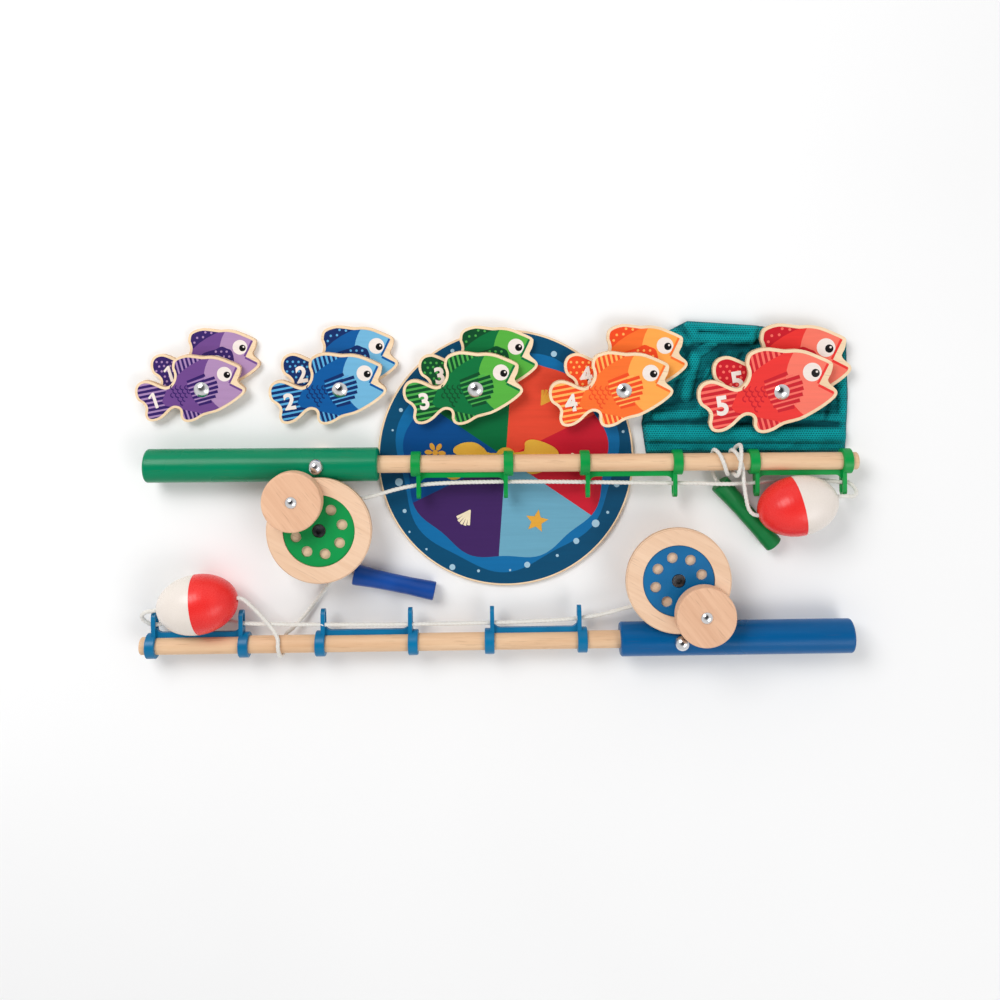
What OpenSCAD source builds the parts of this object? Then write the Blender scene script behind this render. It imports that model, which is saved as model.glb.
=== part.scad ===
// A magnetic fishing game: two toy rods with reels, ten wooden fish, a spinner board and a mesh bag.
// The set lies as laid out on a table. +X runs to the right, +Y away from the player and +Z up.

/* [Handles and dowels] */
// Overall length of a rod
rod_len = 564; // [556:0.5:572]
// Length of the lacquered handle
handle_len = 184; // [178:1:190]
// Diameter of the handle
handle_d = 26.6; // [25.4:0.1:28]
// Radius that rounds the butt of the handle
butt_round = 2; // [1:0.5:5]
// Chamfer round the front end of the handle
handle_chamfer = 1.2; // [0.4:0.2:2]
// Diameter of the wooden dowel
dowel_d = 13.8; // [12.5:0.1:14]
// Length of dowel that is glued into the handle
dowel_seat = 38; // [25:1:40]
// Depth that the reel arm is let into the handle
arm_notch = 2.2; // [1.5:0.1:3]

/* [Line guides] */
// Distance between the two bands of a guide
guide_span = 73.4; // [70:0.2:76]
// Bare dowel between the handle and the first band
guide_gap = 26; // [20:0.1:32]
// Bare dowel past the last band
tip_margin = 5.3; // [3:0.1:8]
// Width of a band along the dowel
band_w = 7.6; // [6:0.2:9]
// Wall of a band
band_wall = 3; // [2:0.1:3]
// Thickness of an eyelet along the dowel
eye_t = 3.2; // [2.4:0.1:3.6]
// Half the width of the slot that the line runs through
eye_slot_r = 2.7; // [2.6:0.1:3]
// Width of the material round the slot
eye_rim = 2.2; // [1.6:0.1:2.6]
// Distance from the middle of the dowel to the near end of the slot
eye_from = 14; // [13.6:0.1:14.1]
// Distance from the middle of the dowel to the far end of the slot
eye_to = 25.4; // [25:0.1:26]
// Height of the rib that joins the two bands
rib_h = 3.8; // [2:0.1:3.8]
// Thickness of that rib
rib_t = 3.4; // [2:0.1:5]

/* [Reels] */
// Distance of the reel's axle from the middle of the handle
reel_offset = 49.4; // [48.6:0.2:52]
// Distance of the reel's axle behind the handle's front end
reel_set = 47.5; // [45:0.5:60]
// Lean of the arm towards the rod's tip
arm_lean = 3; // [0:0.5:4]
// Thickness of the wooden arm
arm_t = 6; // [5:0.1:7]
// Radius of the arm round the axle
arm_axle_r = 19; // [14:1:24]
// Radius of the arm round its bolt
arm_bolt_r = 11; // [9:0.5:13]
// Radius of the front flange
flange_r = 41.2; // [38:0.2:42]
// Thickness of the front flange
flange_t = 6; // [5:0.1:8]
// Radius of the back flange
back_r = 34; // [26:0.5:36]
// Thickness of the back flange
back_t = 4; // [3:0.1:5]
// Radius of the drum
drum_r = 9; // [7:0.5:10]
// Radius of the line wound on the drum
winding_r = 12; // [11:0.5:12.5]
// Radius of the coloured disc
disc_r = 28; // [24:0.5:28]
// Thickness of the coloured disc
disc_t = 2.4; // [1.5:0.1:3]
// Depth of the disc's face below the flange's face
disc_sink = 1; // [0.4:0.1:1.6]
// Number of holes in the disc
disc_holes = 8; // [6:1:9]
// Radius of one of those holes
disc_hole_r = 4.3; // [3:0.1:4.6]
// Radius of the ring of holes
disc_ring_r = 18.6; // [16:0.1:20]
// Diameter of the axle screw
axle_d = 6; // [5:0.1:7]
// Diameter of the axle screw's head
axle_head_d = 9.6; // [9:0.1:10.5]
// Turn of the reel as it lies
reel_turn = 127; // [0:1:359]

/* [Knobs] */
// Distance of the knob's pin from the reel's axle
crank_r = 31; // [30.8:0.1:33]
// Radius of the knob
knob_r = 23.2; // [18:0.2:24]
// Thickness of the knob
knob_t = 12.6; // [9:0.2:15]
// Radius of the boss under the knob
knob_boss_r = 8; // [5.5:0.5:8.5]
// Diameter of the knob's pin
knob_pin_d = 5; // [4:0.1:5.6]
// Diameter of the pin's domed head
knob_head_d = 9; // [8:0.1:11]
// Height of that dome
knob_head_h = 2; // [1.4:0.1:3]

/* [Bolts] */
// Diameter of the bolt that holds the arm
arm_bolt_d = 5; // [4:0.1:6]
// Diameter of the domed cap nut
cap_nut_d = 12; // [10:0.5:13]
// Height of the domed cap nut
cap_nut_h = 5.6; // [5:0.1:6.5]

/* [Floats and magnets] */
// Length of a float
float_len = 64; // [60:0.5:65]
// Diameter of a float
float_d = 46.8; // [44:0.1:47.2]
// Wall of a float
float_wall = 2; // [1.4:0.1:3]
// Radius of the hole through a float
float_hole_r = 2.4; // [2.2:0.1:3]
// Length of a magnet holder
holder_len = 66; // [60:1:72]
// Radius of the holder at the line
holder_r = 8.2; // [7.6:0.1:8.6]
// Radius of the holder at its waist
holder_waist_r = 6.9; // [6.4:0.1:7.4]
// Radius of the holder at the magnet
holder_tip_r = 7.4; // [7:0.1:7.8]
// Radius of the magnet
magnet_r = 4.8; // [3:0.1:5.2]
// Length of the magnet
magnet_len = 6; // [4:0.5:10]
// Diameter of the line
line_d = 3.4; // [2.6:0.1:3.4]

/* [Fish] */
// Length of the middle pair of fish
fish_len = 96; // [92:0.5:98]
// Thickness of the plywood
fish_t = 5; // [3.5:0.1:5.5]
// Share by which the smallest pair is shorter than the middle one
fish_smaller = 0.08; // [0.02:0.01:0.1]
// Share by which the largest pair is longer than the middle one
fish_larger = 0.16; // [0.08:0.01:0.18]
// Diameter of the steel stud
stud_d = 12.6; // [10:0.1:14]
// Height of the stud's dome
stud_h = 2.6; // [1.6:0.1:3.2]
// Diameter of the stud's shank
stud_shank_d = 4; // [3:0.1:5]

/* [Spinner] */
// Radius of the spinner board
board_r = 103.2; // [98:0.2:104]
// Thickness of the spinner board
board_t = 3.4; // [2.8:0.1:4]
// Length of the pointer from its pivot to its point
pointer_r = 43; // [36:0.5:43.5]
// Half the width of the pointer's head
pointer_half = 13.8; // [10:0.2:14]
// Thickness of the pointer
pointer_t = 1.4; // [1:0.1:1.6]
// Diameter of the pivot
pivot_d = 4; // [3:0.1:5]
// Diameter of the pivot's head
pivot_head_d = 8.6; // [7.5:0.1:10]

/* [Bag] */
// Thickness of the folded bag
bag_t = 5; // [4:0.1:5.6]
// Height of the rolled edge
bag_roll_h = 7.8; // [6:0.1:8]
// Height of the loose fold above the flat bag
bag_flap_h = 4; // [2:0.1:5]

/* [Layout] */
// Butt of the green rod
green_butt = [-280.5, 30.2];
// Turn of the green rod
green_turn = 0.42;
// Butt of the blue rod
blue_butt = [279, -104.4];
// Turn of the blue rod
blue_turn = 180.85;
// Middle of the green rod's float, from the middle of its tip guide
green_float_at = [-3.4, -34.3];
// Turn of that float from its white end to its red end
green_float_turn = 192.2;
// Middle of the blue rod's float, from the middle of its tip guide
blue_float_at = [-1.2, -34];
// Turn of that float from its white end to its red end
blue_float_turn = 187.15;
// Line end of the green magnet holder, from the middle of the green rod's tip guide
green_holder_at = [-61.8, -18.4];
// Turn of the green magnet holder
green_holder_turn = -48.9;
// Line end of the blue magnet holder
blue_holder_at = [-117, -58];
// Turn of the blue magnet holder
blue_holder_turn = -12;
// Middle of the spinner board
board_at = [4.6, 34.9];
// Turn of the pointer
pointer_turn = 2;
// Studs of the five front fish
fish_at = [[-238.8, 90.6], [-128.2, 90.4], [-19.6, 91], [98.6, 90.2], [224, 89.2]];
// Place of each rear fish from the fish in front of it
rear_shift = [[10.7, 20.6], [8.7, 21], [12, 19.7], [12.4, 21], [13.2, 18.6]];

/* [Hidden] */
$fn = 64;

// Colours
lacquer_green = [0, 0.50, 0.35];
lacquer_blue = [0.05, 0.36, 0.63];
plastic_green = [0, 0.58, 0.26];
plastic_blue = [0, 0.43, 0.67];
maple = [0.92, 0.78, 0.64];
steel = [0.75, 0.75, 0.76];
twine = [0.9, 0.88, 0.85];
float_red = [0.94, 0.18, 0.18];
float_white = [0.93, 0.9, 0.88];
bag_teal = [0, 0.52, 0.55];
pointer_yellow = [0.85, 0.65, 0.2];
board_blue = [0.05, 0.42, 0.62];
fish_colours = [[0.41, 0.24, 0.57], [0, 0.35, 0.68], [0, 0.47, 0.24], [0.98, 0.5, 0.2], [0.94, 0.2, 0.2]];

// Clearances
fit = 0.05; // round pieces that are glued or bolted together
run = 0.06; // radial play of a shaft that turns in its bore
play = 0.3; // gap between pieces that move past each other
seat = 0.1; // gap between pieces that lie loosely on each other
soft_gap = 0.3; // gap between a piece and the cloth that it lies on

// Heights
axis_z = arm_t + handle_d / 2 - arm_notch;
back_z = arm_t + 2 * play;
handle_side = reel_offset * cos(arm_lean) - flange_r;
handle_rise = handle_side < handle_d / 2 ? sqrt(pow(handle_d / 2, 2) - pow(handle_side, 2)) : 0;
flange_z = axis_z + handle_rise + 2 * play;
flange_top = flange_z + flange_t;
disc_z = flange_top - disc_sink - disc_t;
axle_head_h = 2.3;
cap_seat_depth = 0.6;
cap_seat_z = axis_z + handle_d / 2 - cap_seat_depth;
cap_top_z = cap_seat_z + cap_nut_h;
knob_z = max(cap_top_z, flange_top) + 3 * play;
knob_top = knob_z + knob_t;
bolt_head_h = 2.4;
bolt_head_d = 2 * arm_bolt_d;
bolt_top = cap_top_z - 2.2;
pin_flange_d = knob_pin_d + 4;
pin_flange_h = 1.2;

// Places along a rod
dowel_r = dowel_d / 2;
band_r = dowel_r + fit + band_wall;
guide_half = (guide_span + band_w) / 2;
guide_butt_x = handle_len + guide_gap + guide_half;
guide_tip_x = rod_len - tip_margin - guide_half;
guide_x = [guide_butt_x, (guide_butt_x + guide_tip_x) / 2, guide_tip_x];
reel_x = handle_len - reel_set;
notch_half = arm_bolt_r + (arm_axle_r - arm_bolt_r) * handle_d / 2 / reel_offset + seat;
eye_r = eye_slot_r + eye_rim;
eye_near = eye_from + eye_slot_r;
eye_far = eye_to - eye_slot_r;
eye_x = guide_span / 2 - band_w / 2 + eye_t / 2;
reel_at = [reel_x + reel_offset * sin(arm_lean), -reel_offset * cos(arm_lean)];
disc_recess_r = disc_r + 2 * fit;

// Magnet holders
holder_collar = 3;
holder_edge = 0.6;
holder_lean = asin((holder_r - holder_tip_r) / (holder_len - holder_edge - holder_collar));
holder_z = holder_r * cos(holder_lean) + holder_collar * sin(holder_lean);

// Spinner
pointer_z = board_t + play;
pivot_head_z = pointer_z + pointer_t + play / 2;
pivot_head_h = 0.7;
pivot_back_h = 0.8;
pivot_back_d = pivot_head_d;

// The green rod lies on its arm, or on the spinner where that is higher
green_lift = max(
    0,
    board_t + play - (axis_z - handle_d / 2),
    pivot_head_z + pivot_head_h + play - (axis_z - band_r)
);

// Outline of a fish that is 100 long, with its stud at [0, 0]
fish_outline = [
    [-26, 20], [-25, 26], [-21, 29.5], [-13, 31.8], [-5, 31.2], [2, 30.3], [9, 30.7], [17, 29.5],
    [26, 26], [34.5, 22], [35.8, 18.5], [34.5, 13], [32.5, 9], [34, 6], [37.5, 3], [39.5, 0], [38, -4],
    [31, -10], [22, -15.8], [13, -20.4], [2, -23.4], [-4, -27], [-9, -29.1], [-14, -29.7], [-17.8, -28],
    [-19.6, -24], [-19.5, -20.2], [-21, -17.6], [-25, -16.8], [-29, -19], [-34, -24], [-39, -27.5],
    [-44.5, -29.1], [-49.5, -28], [-51.8, -23], [-51, -16.8], [-53.5, -12.8], [-57.8, -9.8], [-60, -5],
    [-60, 1], [-57.5, 5.5], [-53, 7.9], [-48, 8.1], [-42, 6], [-36.5, 3.5], [-32, 2.5], [-28, 4.4],
    [-25, 9], [-24.2, 13.5], [-25, 17]
];
fish_low = 29.8; // lowest line of the belly below the stud
fish_shares = [1 - fish_smaller, 1 - 0.2 * fish_smaller, 1, 1 + 0.2 * fish_larger, 1 + fish_larger];
fish_sizes = [for (share = fish_shares) fish_len / 100 * share];
on_board = board_t;
on_bag = bag_t + soft_gap;
fish_base = [0, 0, on_board, on_bag, on_bag];

// Edges of the folded bag: share of the way up and x, then share of the way across and y
bag_left = [[0, 118], [0.25, 114.5], [0.85, 126], [1, 134]];
bag_right = [[0, 279], [0.5, 281.5], [1, 280]];
bag_front = [[0, 37.5], [0.5, 38.6], [1, 39]];
bag_back = [[0, 136], [0.12, 145], [0.5, 141.5], [1, 129]];
bag_low = 2.8; // thickness between the folds
bag_cells = [46, 34]; // cells of the folded surface, across and up

// Crests of the bag's folds: from, to, half width and height
bag_crests = [
    [[121, 55], [200, 53.6], 5.5, bag_roll_h],
    [[200, 53.6], [280, 52], 5, bag_roll_h - 0.8],
    [[119, 43], [278, 43.4], 3, 4.4],
    [[126, 68], [176, 72], 3, bag_t],
    [[176, 72], [279, 67], 2.6, bag_t - 0.4],
    [[150, 84], [158, 118], 3.4, bag_t],
    [[158, 118], [172, 127], 3, bag_t - 0.3],
    [[163, 76], [169, 104], 2.6, bag_t - 0.6],
    [[124, 96], [150, 104], 3, bag_t - 0.2],
    [[153, 143.4], [203, 139.6], 4, bag_t + bag_flap_h - 1],
    [[153, 143.4], [157, 132], 3.4, bag_t + bag_flap_h - 1.4],
    [[157, 132], [202, 130.6], 3.2, bag_t + bag_flap_h - 1.2],
    [[203, 139.6], [202, 130.6], 3, bag_t + bag_flap_h - 1.8],
    [[136, 139], [152, 128], 3, bag_t - 0.2],
    [[206, 136], [280, 126], 4, bag_t],
    [[274, 124], [278, 60], 3, bag_t]
];

// Routes of the two lines, as [x, y, z]
green_wrap_y = 33.6;
blue_wrap_y = -111.1;
wrap_r = dowel_r + line_d / 2 + seat;
over_r = wrap_r + line_d + seat;
green_route = concat(
    [
        [-144.9, -4.6, 18], [-104, 5.4, 17], [-64.2, 14.9, 16.5], [140, 16.4, 16.5], [158, 16.4, 17],
        [171, 16.2, 18.8], [185, 16.2, 18.8], [197, 16.6, 17], [205.6, 16.9, 16.5], [215, 17, 9.6],
        [228, 17.3, 3.2], [243, 17.4, 2.8], [255, 17.4, 5.4], [263.5, 17.4, 11.5], [269.8, 17.3, 16.4],
        [275.4, 17.3, 16.5], [279.8, 14.6, 17.6], [281.8, 10, 20.4], [278.4, 7.2, 23.4], [272.5, 7.4, 24.2],
        [267.4, 7, 23.4], [201.6, -7.7, 23.4], [196.6, -3.8, 23.4], [194, 5, 23.6], [192, 17, 24.6]
    ],
    wrap(190.4, 184.5, 105, 0, wrap_r, wrap_r, green_wrap_y, 3),
    wrap(184.2, 185.4, -45, -180, wrap_r, wrap_r, green_wrap_y, 3),
    wrap(186.7, 188, 135, 90, over_r, over_r, green_wrap_y, 1),
    wrap(189.4, 190.5, 45, 0, over_r, over_r, green_wrap_y, 1),
    wrap(188.4, 185.9, -45, -90, over_r, over_r, green_wrap_y, 1),
    wrap(183.3, 180.9, -135, -180, over_r - 1, wrap_r + 0.6, green_wrap_y, 1),
    wrap(178.3, 170.4, 135, 0, wrap_r, wrap_r, green_wrap_y, 3),
    wrap(170, 169.8, -45, -80, wrap_r, wrap_r, green_wrap_y, 1),
    [[170.2, 26.5, 7.9], [173.3, 18.2, 8.2], [181, 9.6, 8.1]]
);
blue_route = concat(
    [
        [142.7, -71, 18], [104, -81.5, 17], [62.6, -90.7, 16.5], [-207, -94.7, 16.5], [-216, -95, 9.6],
        [-229, -95.8, 3.4], [-246, -96.2, 3], [-258, -96.1, 6], [-266, -95.8, 11.8], [-271.4, -95.7, 16.4],
        [-276.8, -95.7, 16.5], [-281.2, -93, 17.6], [-283.2, -88.4, 20.4], [-279.6, -84.4, 23.2],
        [-272.6, -82.9, 23.6], [-204.4, -73.3, 23.4], [-199, -76.8, 23.3], [-188.5, -87.5, 22.2], [-179.5, -98, 22.2]
    ],
    wrap(-175, -171, 50, 310, wrap_r, wrap_r, blue_wrap_y, 6),
    [
        [-167.5, -102.4, 8], [-158, -92.6, 5], [-148, -80.4, 3.2], [-140, -69.4, 3.6], [-133, -61, 5.6],
        [-124.5, -56.5, 8], [-109.2, -59.7, 8.1]
    ]
);

// Placement: the set stands with the middle of its outline over the origin
spread_min = [
    fish_at[0][0] + fish_sizes[0] * min([for (p = smooth(fish_outline, 2)) p[0]]),
    blue_butt[1] + handle_len * sin(blue_turn) - handle_d / 2
];
spread_max = [
    green_butt[0] + rod_len * cos(green_turn),
    max([for (e = bag_back) e[1]])
];
set_middle = (spread_min + spread_max) / 2;

function unit(v) = v / norm(v);

// Points of an arc round a centre, from one angle to another
function arc(c, r, from, to, n) = [for (i = [0:n]) let (a = from + (to - from) * i / n) c + r * [cos(a), sin(a)]];

// Points on a helix round the dowel, at 0 degrees on its far side and 90 on top
function wrap(x_from, x_to, from, to, r_from, r_to, middle_y, n) = [
    for (i = [0:n]) let (
        t = i / n,
        a = from + (to - from) * t,
        r = (r_from + (r_to - r_from) * t) / cos((to - from) / n / 2)
    ) [x_from + (x_to - x_from) * t, middle_y + r * cos(a), axis_z + r * sin(a)]
];

// A closed smooth curve through the given points, with n steps from each to the next
function smooth(p, n) = [
    for (i = [0:len(p) - 1], k = [0:n - 1]) let (
        m = len(p),
        a = p[(i + m - 1) % m],
        b = p[i],
        c = p[(i + 1) % m],
        d = p[(i + 2) % m],
        t = k / n
    ) (2 * b + (c - a) * t + (2 * a - 5 * b + 4 * c - d) * t * t + (3 * b - a - 3 * c + d) * t * t * t) / 2
];

// A closed tube along a route
function ahead(p, i) = unit(p[min(i + 1, len(p) - 1)] - p[max(i - 1, 0)]);
function across(p, i) = i == 0
    ? unit(cross(ahead(p, 0), [0, 0, 1]))
    : let (n = across(p, i - 1), t = ahead(p, i)) unit(n - t * (n * t));

module tube(p, r, sides = 8) {
    m = len(p);
    points = [
        for (i = [0:m - 1]) let (t = ahead(p, i), n = across(p, i), b = cross(t, n))
            for (k = [0:sides - 1]) p[i] + r * (cos(360 * k / sides) * n + sin(360 * k / sides) * b)
    ];
    walls = [
        for (i = [0:m - 2], k = [0:sides - 1]) let (j = (k + 1) % sides)
            [i * sides + k, (i + 1) * sides + k, (i + 1) * sides + j, i * sides + j]
    ];
    first = [for (k = [0:sides - 1]) k];
    last = [for (k = [sides - 1:-1:0]) (m - 1) * sides + k];
    polyhedron(points, concat([first], walls, [last]), convexity = 10);
}

// Moves from the layout to the set's own frame
module on_table() {
    translate([-set_middle[0], -set_middle[1], 0]) children();
}

module on_green_rod() {
    on_table() translate([green_butt[0], green_butt[1], green_lift]) rotate([0, 0, green_turn]) children();
}

module on_blue_rod() {
    on_table() translate([blue_butt[0], blue_butt[1], 0]) rotate([0, 0, blue_turn]) children();
}

// On the table below the middle of a rod's tip guide
module on_green_tip() {
    on_green_rod() translate([guide_tip_x, 0, -green_lift]) children();
}

module on_blue_tip() {
    on_blue_rod() translate([guide_tip_x, 0, 0]) children();
}

module on_green_reel() {
    on_green_rod() translate([reel_at[0], reel_at[1], 0]) children();
}

module on_blue_reel() {
    on_blue_rod() translate([reel_at[0], reel_at[1], 0]) children();
}

module along_x(x) {
    translate([x, 0, axis_z]) rotate([0, 90, 0]) children();
}

// A turned round piece along Z with chamfered edges
module turned(r, h, edge) {
    rotate_extrude() polygon([[0, 0], [r - edge, 0], [r, edge], [r, h - edge], [r - edge, h], [0, h]]);
}

module dome(r, h) {
    ball = (r * r + h * h) / (2 * h);
    intersection() {
        translate([0, 0, h - ball]) sphere(ball);
        cylinder(r = r + 1, h = h);
    }
}

module handle(colour) {
    butt = arc([handle_d / 2 - butt_round, butt_round], butt_round, -90, 0, 8);
    profile = concat(
        [[0, 0]],
        butt,
        [
            [handle_d / 2, handle_len - handle_chamfer],
            [handle_d / 2 - handle_chamfer, handle_len],
            [0, handle_len]
        ]
    );
    color(colour) difference() {
        along_x(0) rotate_extrude() polygon(profile);
        along_x(handle_len - dowel_seat) cylinder(r = dowel_r + fit, h = dowel_seat + 1);
        translate([reel_x, 0, 0]) rotate([0, 0, arm_lean]) translate([-notch_half, -handle_d, -1])
            cube([2 * notch_half, 2 * handle_d, arm_t + 1]);
        translate([reel_x, 0, 0]) cylinder(d = arm_bolt_d + 2 * fit, h = axis_z + handle_d);
        translate([reel_x, 0, cap_seat_z]) cylinder(d = cap_nut_d + 2 * fit, h = handle_d);
    }
}

module dowel() {
    length = rod_len - handle_len + dowel_seat;
    color(maple) along_x(rod_len - length) rotate_extrude()
        polygon([[0, 0], [dowel_r, 0], [dowel_r, length - 0.8], [dowel_r - 0.8, length], [0, length]]);
}

// A moulded guide: two bands round the dowel, a rib between them and an eyelet on each
module guide(x, colour) {
    color(colour) translate([x, 0, axis_z]) difference() {
        union() {
            for (side = [-1, 1]) {
                translate([side * guide_span / 2 - band_w / 2, 0, 0]) rotate([0, 90, 0])
                    turned(band_r, band_w, 0.5);
                translate([side * eye_x - eye_t / 2, 0, 0]) eyelet();
                mirror([side < 0 ? 1 : 0, 0, 0]) gusset();
            }
            translate([-eye_x, -dowel_r - fit - rib_h, -rib_t / 2]) cube([2 * eye_x, rib_h + 1, rib_t]);
        }
        translate([-guide_span, 0, 0]) rotate([0, 90, 0]) cylinder(r = dowel_r + fit, h = 2 * guide_span);
        for (side = [-1, 1]) translate([side * eye_x - eye_t, 0, 0]) eyelet_slot();
    }
}

// A flat fin across the dowel with a rounded end
module eyelet() {
    translate([0, -eye_far, -eye_r]) cube([eye_t, eye_far - band_r * 0.4, 2 * eye_r]);
    translate([0, -eye_far, 0]) rotate([0, 90, 0]) cylinder(r = eye_r, h = eye_t);
}

// The slot in a fin, with round ends
module eyelet_slot() {
    for (y = [-eye_near, -eye_far]) translate([0, y, 0]) rotate([0, 90, 0]) cylinder(r = eye_slot_r, h = 2 * eye_t);
    translate([0, -eye_far, -eye_slot_r]) cube([2 * eye_t, eye_far - eye_near, 2 * eye_slot_r]);
}

// The curved corner between the rib and an eyelet
module gusset() {
    reach = 5;
    corner = [eye_x - eye_t / 2, -dowel_r - fit - rib_h];
    bend = arc(corner + [-reach, -reach], reach, 90, 0, 6);
    translate([0, 0, -rib_t / 2]) linear_extrude(rib_t)
        polygon(concat([corner + [0.5, 0.5], corner + [-reach, 0.5]], bend, [corner + [0.5, -reach]]));
}

// The wooden arm lies under the handle and carries the axle
module reel_arm() {
    slope = acos((arm_axle_r - arm_bolt_r) / reel_offset);
    outline = concat(
        arc([0, 0], arm_bolt_r, slope - 90, 270 - slope, 16),
        arc([0, -reel_offset], arm_axle_r, 270 - slope, 450 - 180 + slope, 24)
    );
    color(maple) translate([reel_x, 0, 0]) rotate([0, 0, arm_lean]) difference() {
        linear_extrude(arm_t) polygon(outline);
        translate([0, 0, -1]) cylinder(d = arm_bolt_d + 2 * fit, h = arm_t + 2);
        translate([0, 0, -1]) cylinder(d = bolt_head_d + 2 * fit, h = bolt_head_h + 1 + seat);
        translate([0, -reel_offset, 1]) cylinder(d = axle_d + 2 * fit, h = arm_t);
    }
}

module arm_bolt() {
    color(steel) translate([reel_x, 0, 0]) {
        translate([0, 0, seat]) turned(bolt_head_d / 2, bolt_head_h, 0.5);
        translate([0, 0, bolt_head_h / 2]) cylinder(d = arm_bolt_d, h = bolt_top - bolt_head_h / 2);
    }
}

module cap_nut() {
    rim = 1;
    color(steel) translate([reel_x, 0, cap_seat_z]) difference() {
        union() {
            cylinder(d = cap_nut_d, h = rim);
            translate([0, 0, rim]) dome(cap_nut_d / 2, cap_nut_h - rim);
        }
        translate([0, 0, -1]) cylinder(d = arm_bolt_d + 2 * fit, h = bolt_top - cap_seat_z + 1 + seat);
    }
}

module axle_screw() {
    socket_d = axle_head_d * 0.5;
    head_z = disc_z + play;
    color([0.12, 0.12, 0.13]) difference() {
        union() {
            translate([0, 0, 1 + seat]) cylinder(d = axle_d, h = head_z - 1);
            translate([0, 0, head_z]) turned(axle_head_d / 2, axle_head_h, 0.4);
        }
        translate([0, 0, head_z + 0.8]) cylinder(d = socket_d, h = axle_head_h, $fn = 6);
    }
}

module back_flange() {
    color(maple) translate([0, 0, back_z]) difference() {
        turned(back_r, back_t, 0.8);
        translate([0, 0, -1]) cylinder(d = axle_d + 2 * play, h = back_t + 2);
    }
}

// The drum is the reel's bearing
module drum() {
    from = back_z + back_t;
    color(maple) translate([0, 0, from]) difference() {
        cylinder(r = drum_r, h = flange_z - from);
        translate([0, 0, -1]) cylinder(r = axle_d / 2 + run, h = flange_z - from + 2);
    }
}

module front_flange() {
    color(maple) translate([0, 0, flange_z]) difference() {
        turned(flange_r, flange_t, 1);
        translate([0, 0, -1]) cylinder(d = axle_d + 2 * play, h = flange_t + 2);
        translate([0, 0, disc_z - flange_z]) cylinder(r = disc_recess_r, h = flange_t);
        rotate([0, 0, reel_turn]) translate([crank_r, 0, -1]) cylinder(d = knob_pin_d + 2 * fit, h = flange_t + 2);
    }
}

module reel_disc(colour) {
    color(colour) translate([0, 0, disc_z]) rotate([0, 0, reel_turn]) difference() {
        turned(disc_r, disc_t, 0.3);
        translate([0, 0, -1]) cylinder(d = axle_head_d + 4 * play, h = disc_t + 2);
        for (i = [0:disc_holes - 1])
            rotate([0, 0, (i + 0.5) * 360 / disc_holes]) translate([disc_ring_r, 0, -1])
                cylinder(r = disc_hole_r, h = disc_t + 2);
    }
}

// The turns of line on the drum, as one solid
module line_winding() {
    from = back_z + back_t + seat;
    color(twine) translate([0, 0, from]) difference() {
        turned(winding_r, flange_z - seat - from, 1);
        translate([0, 0, -1]) cylinder(r = drum_r + fit, h = flange_z);
    }
}

// A rivet through the front flange that the knob turns on
module knob_pin() {
    color(steel) rotate([0, 0, reel_turn]) translate([crank_r, 0, 0]) {
        translate([0, 0, flange_z - pin_flange_h]) cylinder(d = pin_flange_d, h = pin_flange_h);
        translate([0, 0, flange_z - pin_flange_h / 2])
            cylinder(d = knob_pin_d, h = knob_top + play + knob_head_h / 3 - flange_z + pin_flange_h / 2);
        translate([0, 0, knob_top + play]) dome(knob_head_d / 2, knob_head_h);
    }
}

module knob() {
    edge = 1.4;
    boss_z = flange_top + play;
    profile = concat(
        [[0, boss_z], [knob_boss_r, boss_z], [knob_boss_r, knob_z]],
        arc([knob_r - edge, knob_z + edge], edge, -90, 0, 4),
        arc([knob_r - edge, knob_top - edge], edge, 0, 90, 4),
        [[0, knob_top]]
    );
    color(maple) rotate([0, 0, reel_turn]) translate([crank_r, 0, 0]) difference() {
        rotate_extrude() polygon(profile);
        translate([0, 0, boss_z - 1]) cylinder(r = knob_pin_d / 2 + run, h = knob_top);
    }
}

// Half of a hollow float, with the tube that the line runs through
module float_half(lip) {
    a = float_d / 2;
    b = float_len / 2;
    tube_r = float_hole_r + 1.4;
    from = acos(float_hole_r / a);
    outer = [for (i = [0:14]) let (t = from * (1 - i / 14)) [a * cos(t), b * sin(t)]];
    in_a = a - float_wall;
    in_b = b - float_wall;
    to = acos(tube_r / in_a);
    inner = [for (i = [0:12]) let (t = to * i / 12) [in_a * cos(t), in_b * sin(t)]];
    rotate_extrude() polygon(concat(outer, inner, [[tube_r, 0], [float_hole_r, 0]]));
    if (lip) rotate_extrude() polygon([
        [in_a + 0.6, 2.4], [in_a - 1.4, 2.4], [in_a - 1.4, -2.4], [in_a - 2 * fit, -2.4],
        [in_a - 2 * fit, 0], [in_a + 0.6, 0.6]
    ]);
}

module float_white_half() {
    color(float_white) rotate([0, -90, 0]) difference() {
        float_half(false);
        translate([0, 0, -0.1]) cylinder(r = float_d / 2 - float_wall, h = 2.6);
    }
    color(float_white) rotate([0, -90, 0]) difference() {
        cylinder(r = float_hole_r + 1.4, h = 4);
        translate([0, 0, -1]) cylinder(r = float_hole_r, h = 6);
    }
}

module float_red_half() {
    color(float_red) translate([seat / 2, 0, 0]) rotate([0, 90, 0]) float_half(true);
}

// A float lies on the table beside the tip of its rod
module at_float(place, turn) {
    translate([place[0], place[1], float_d / 2]) rotate([0, 0, turn]) children();
}

// A holder lies on the table on both its rims
module at_holder(place, turn) {
    translate([place[0], place[1], holder_z]) rotate([0, 0, turn]) rotate([0, 90 + holder_lean, 0]) children();
}

module at_green_holder() {
    on_green_tip() at_holder(green_holder_at, green_holder_turn) children();
}

module at_blue_holder() {
    on_table() at_holder(blue_holder_at, blue_holder_turn) children();
}

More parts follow.
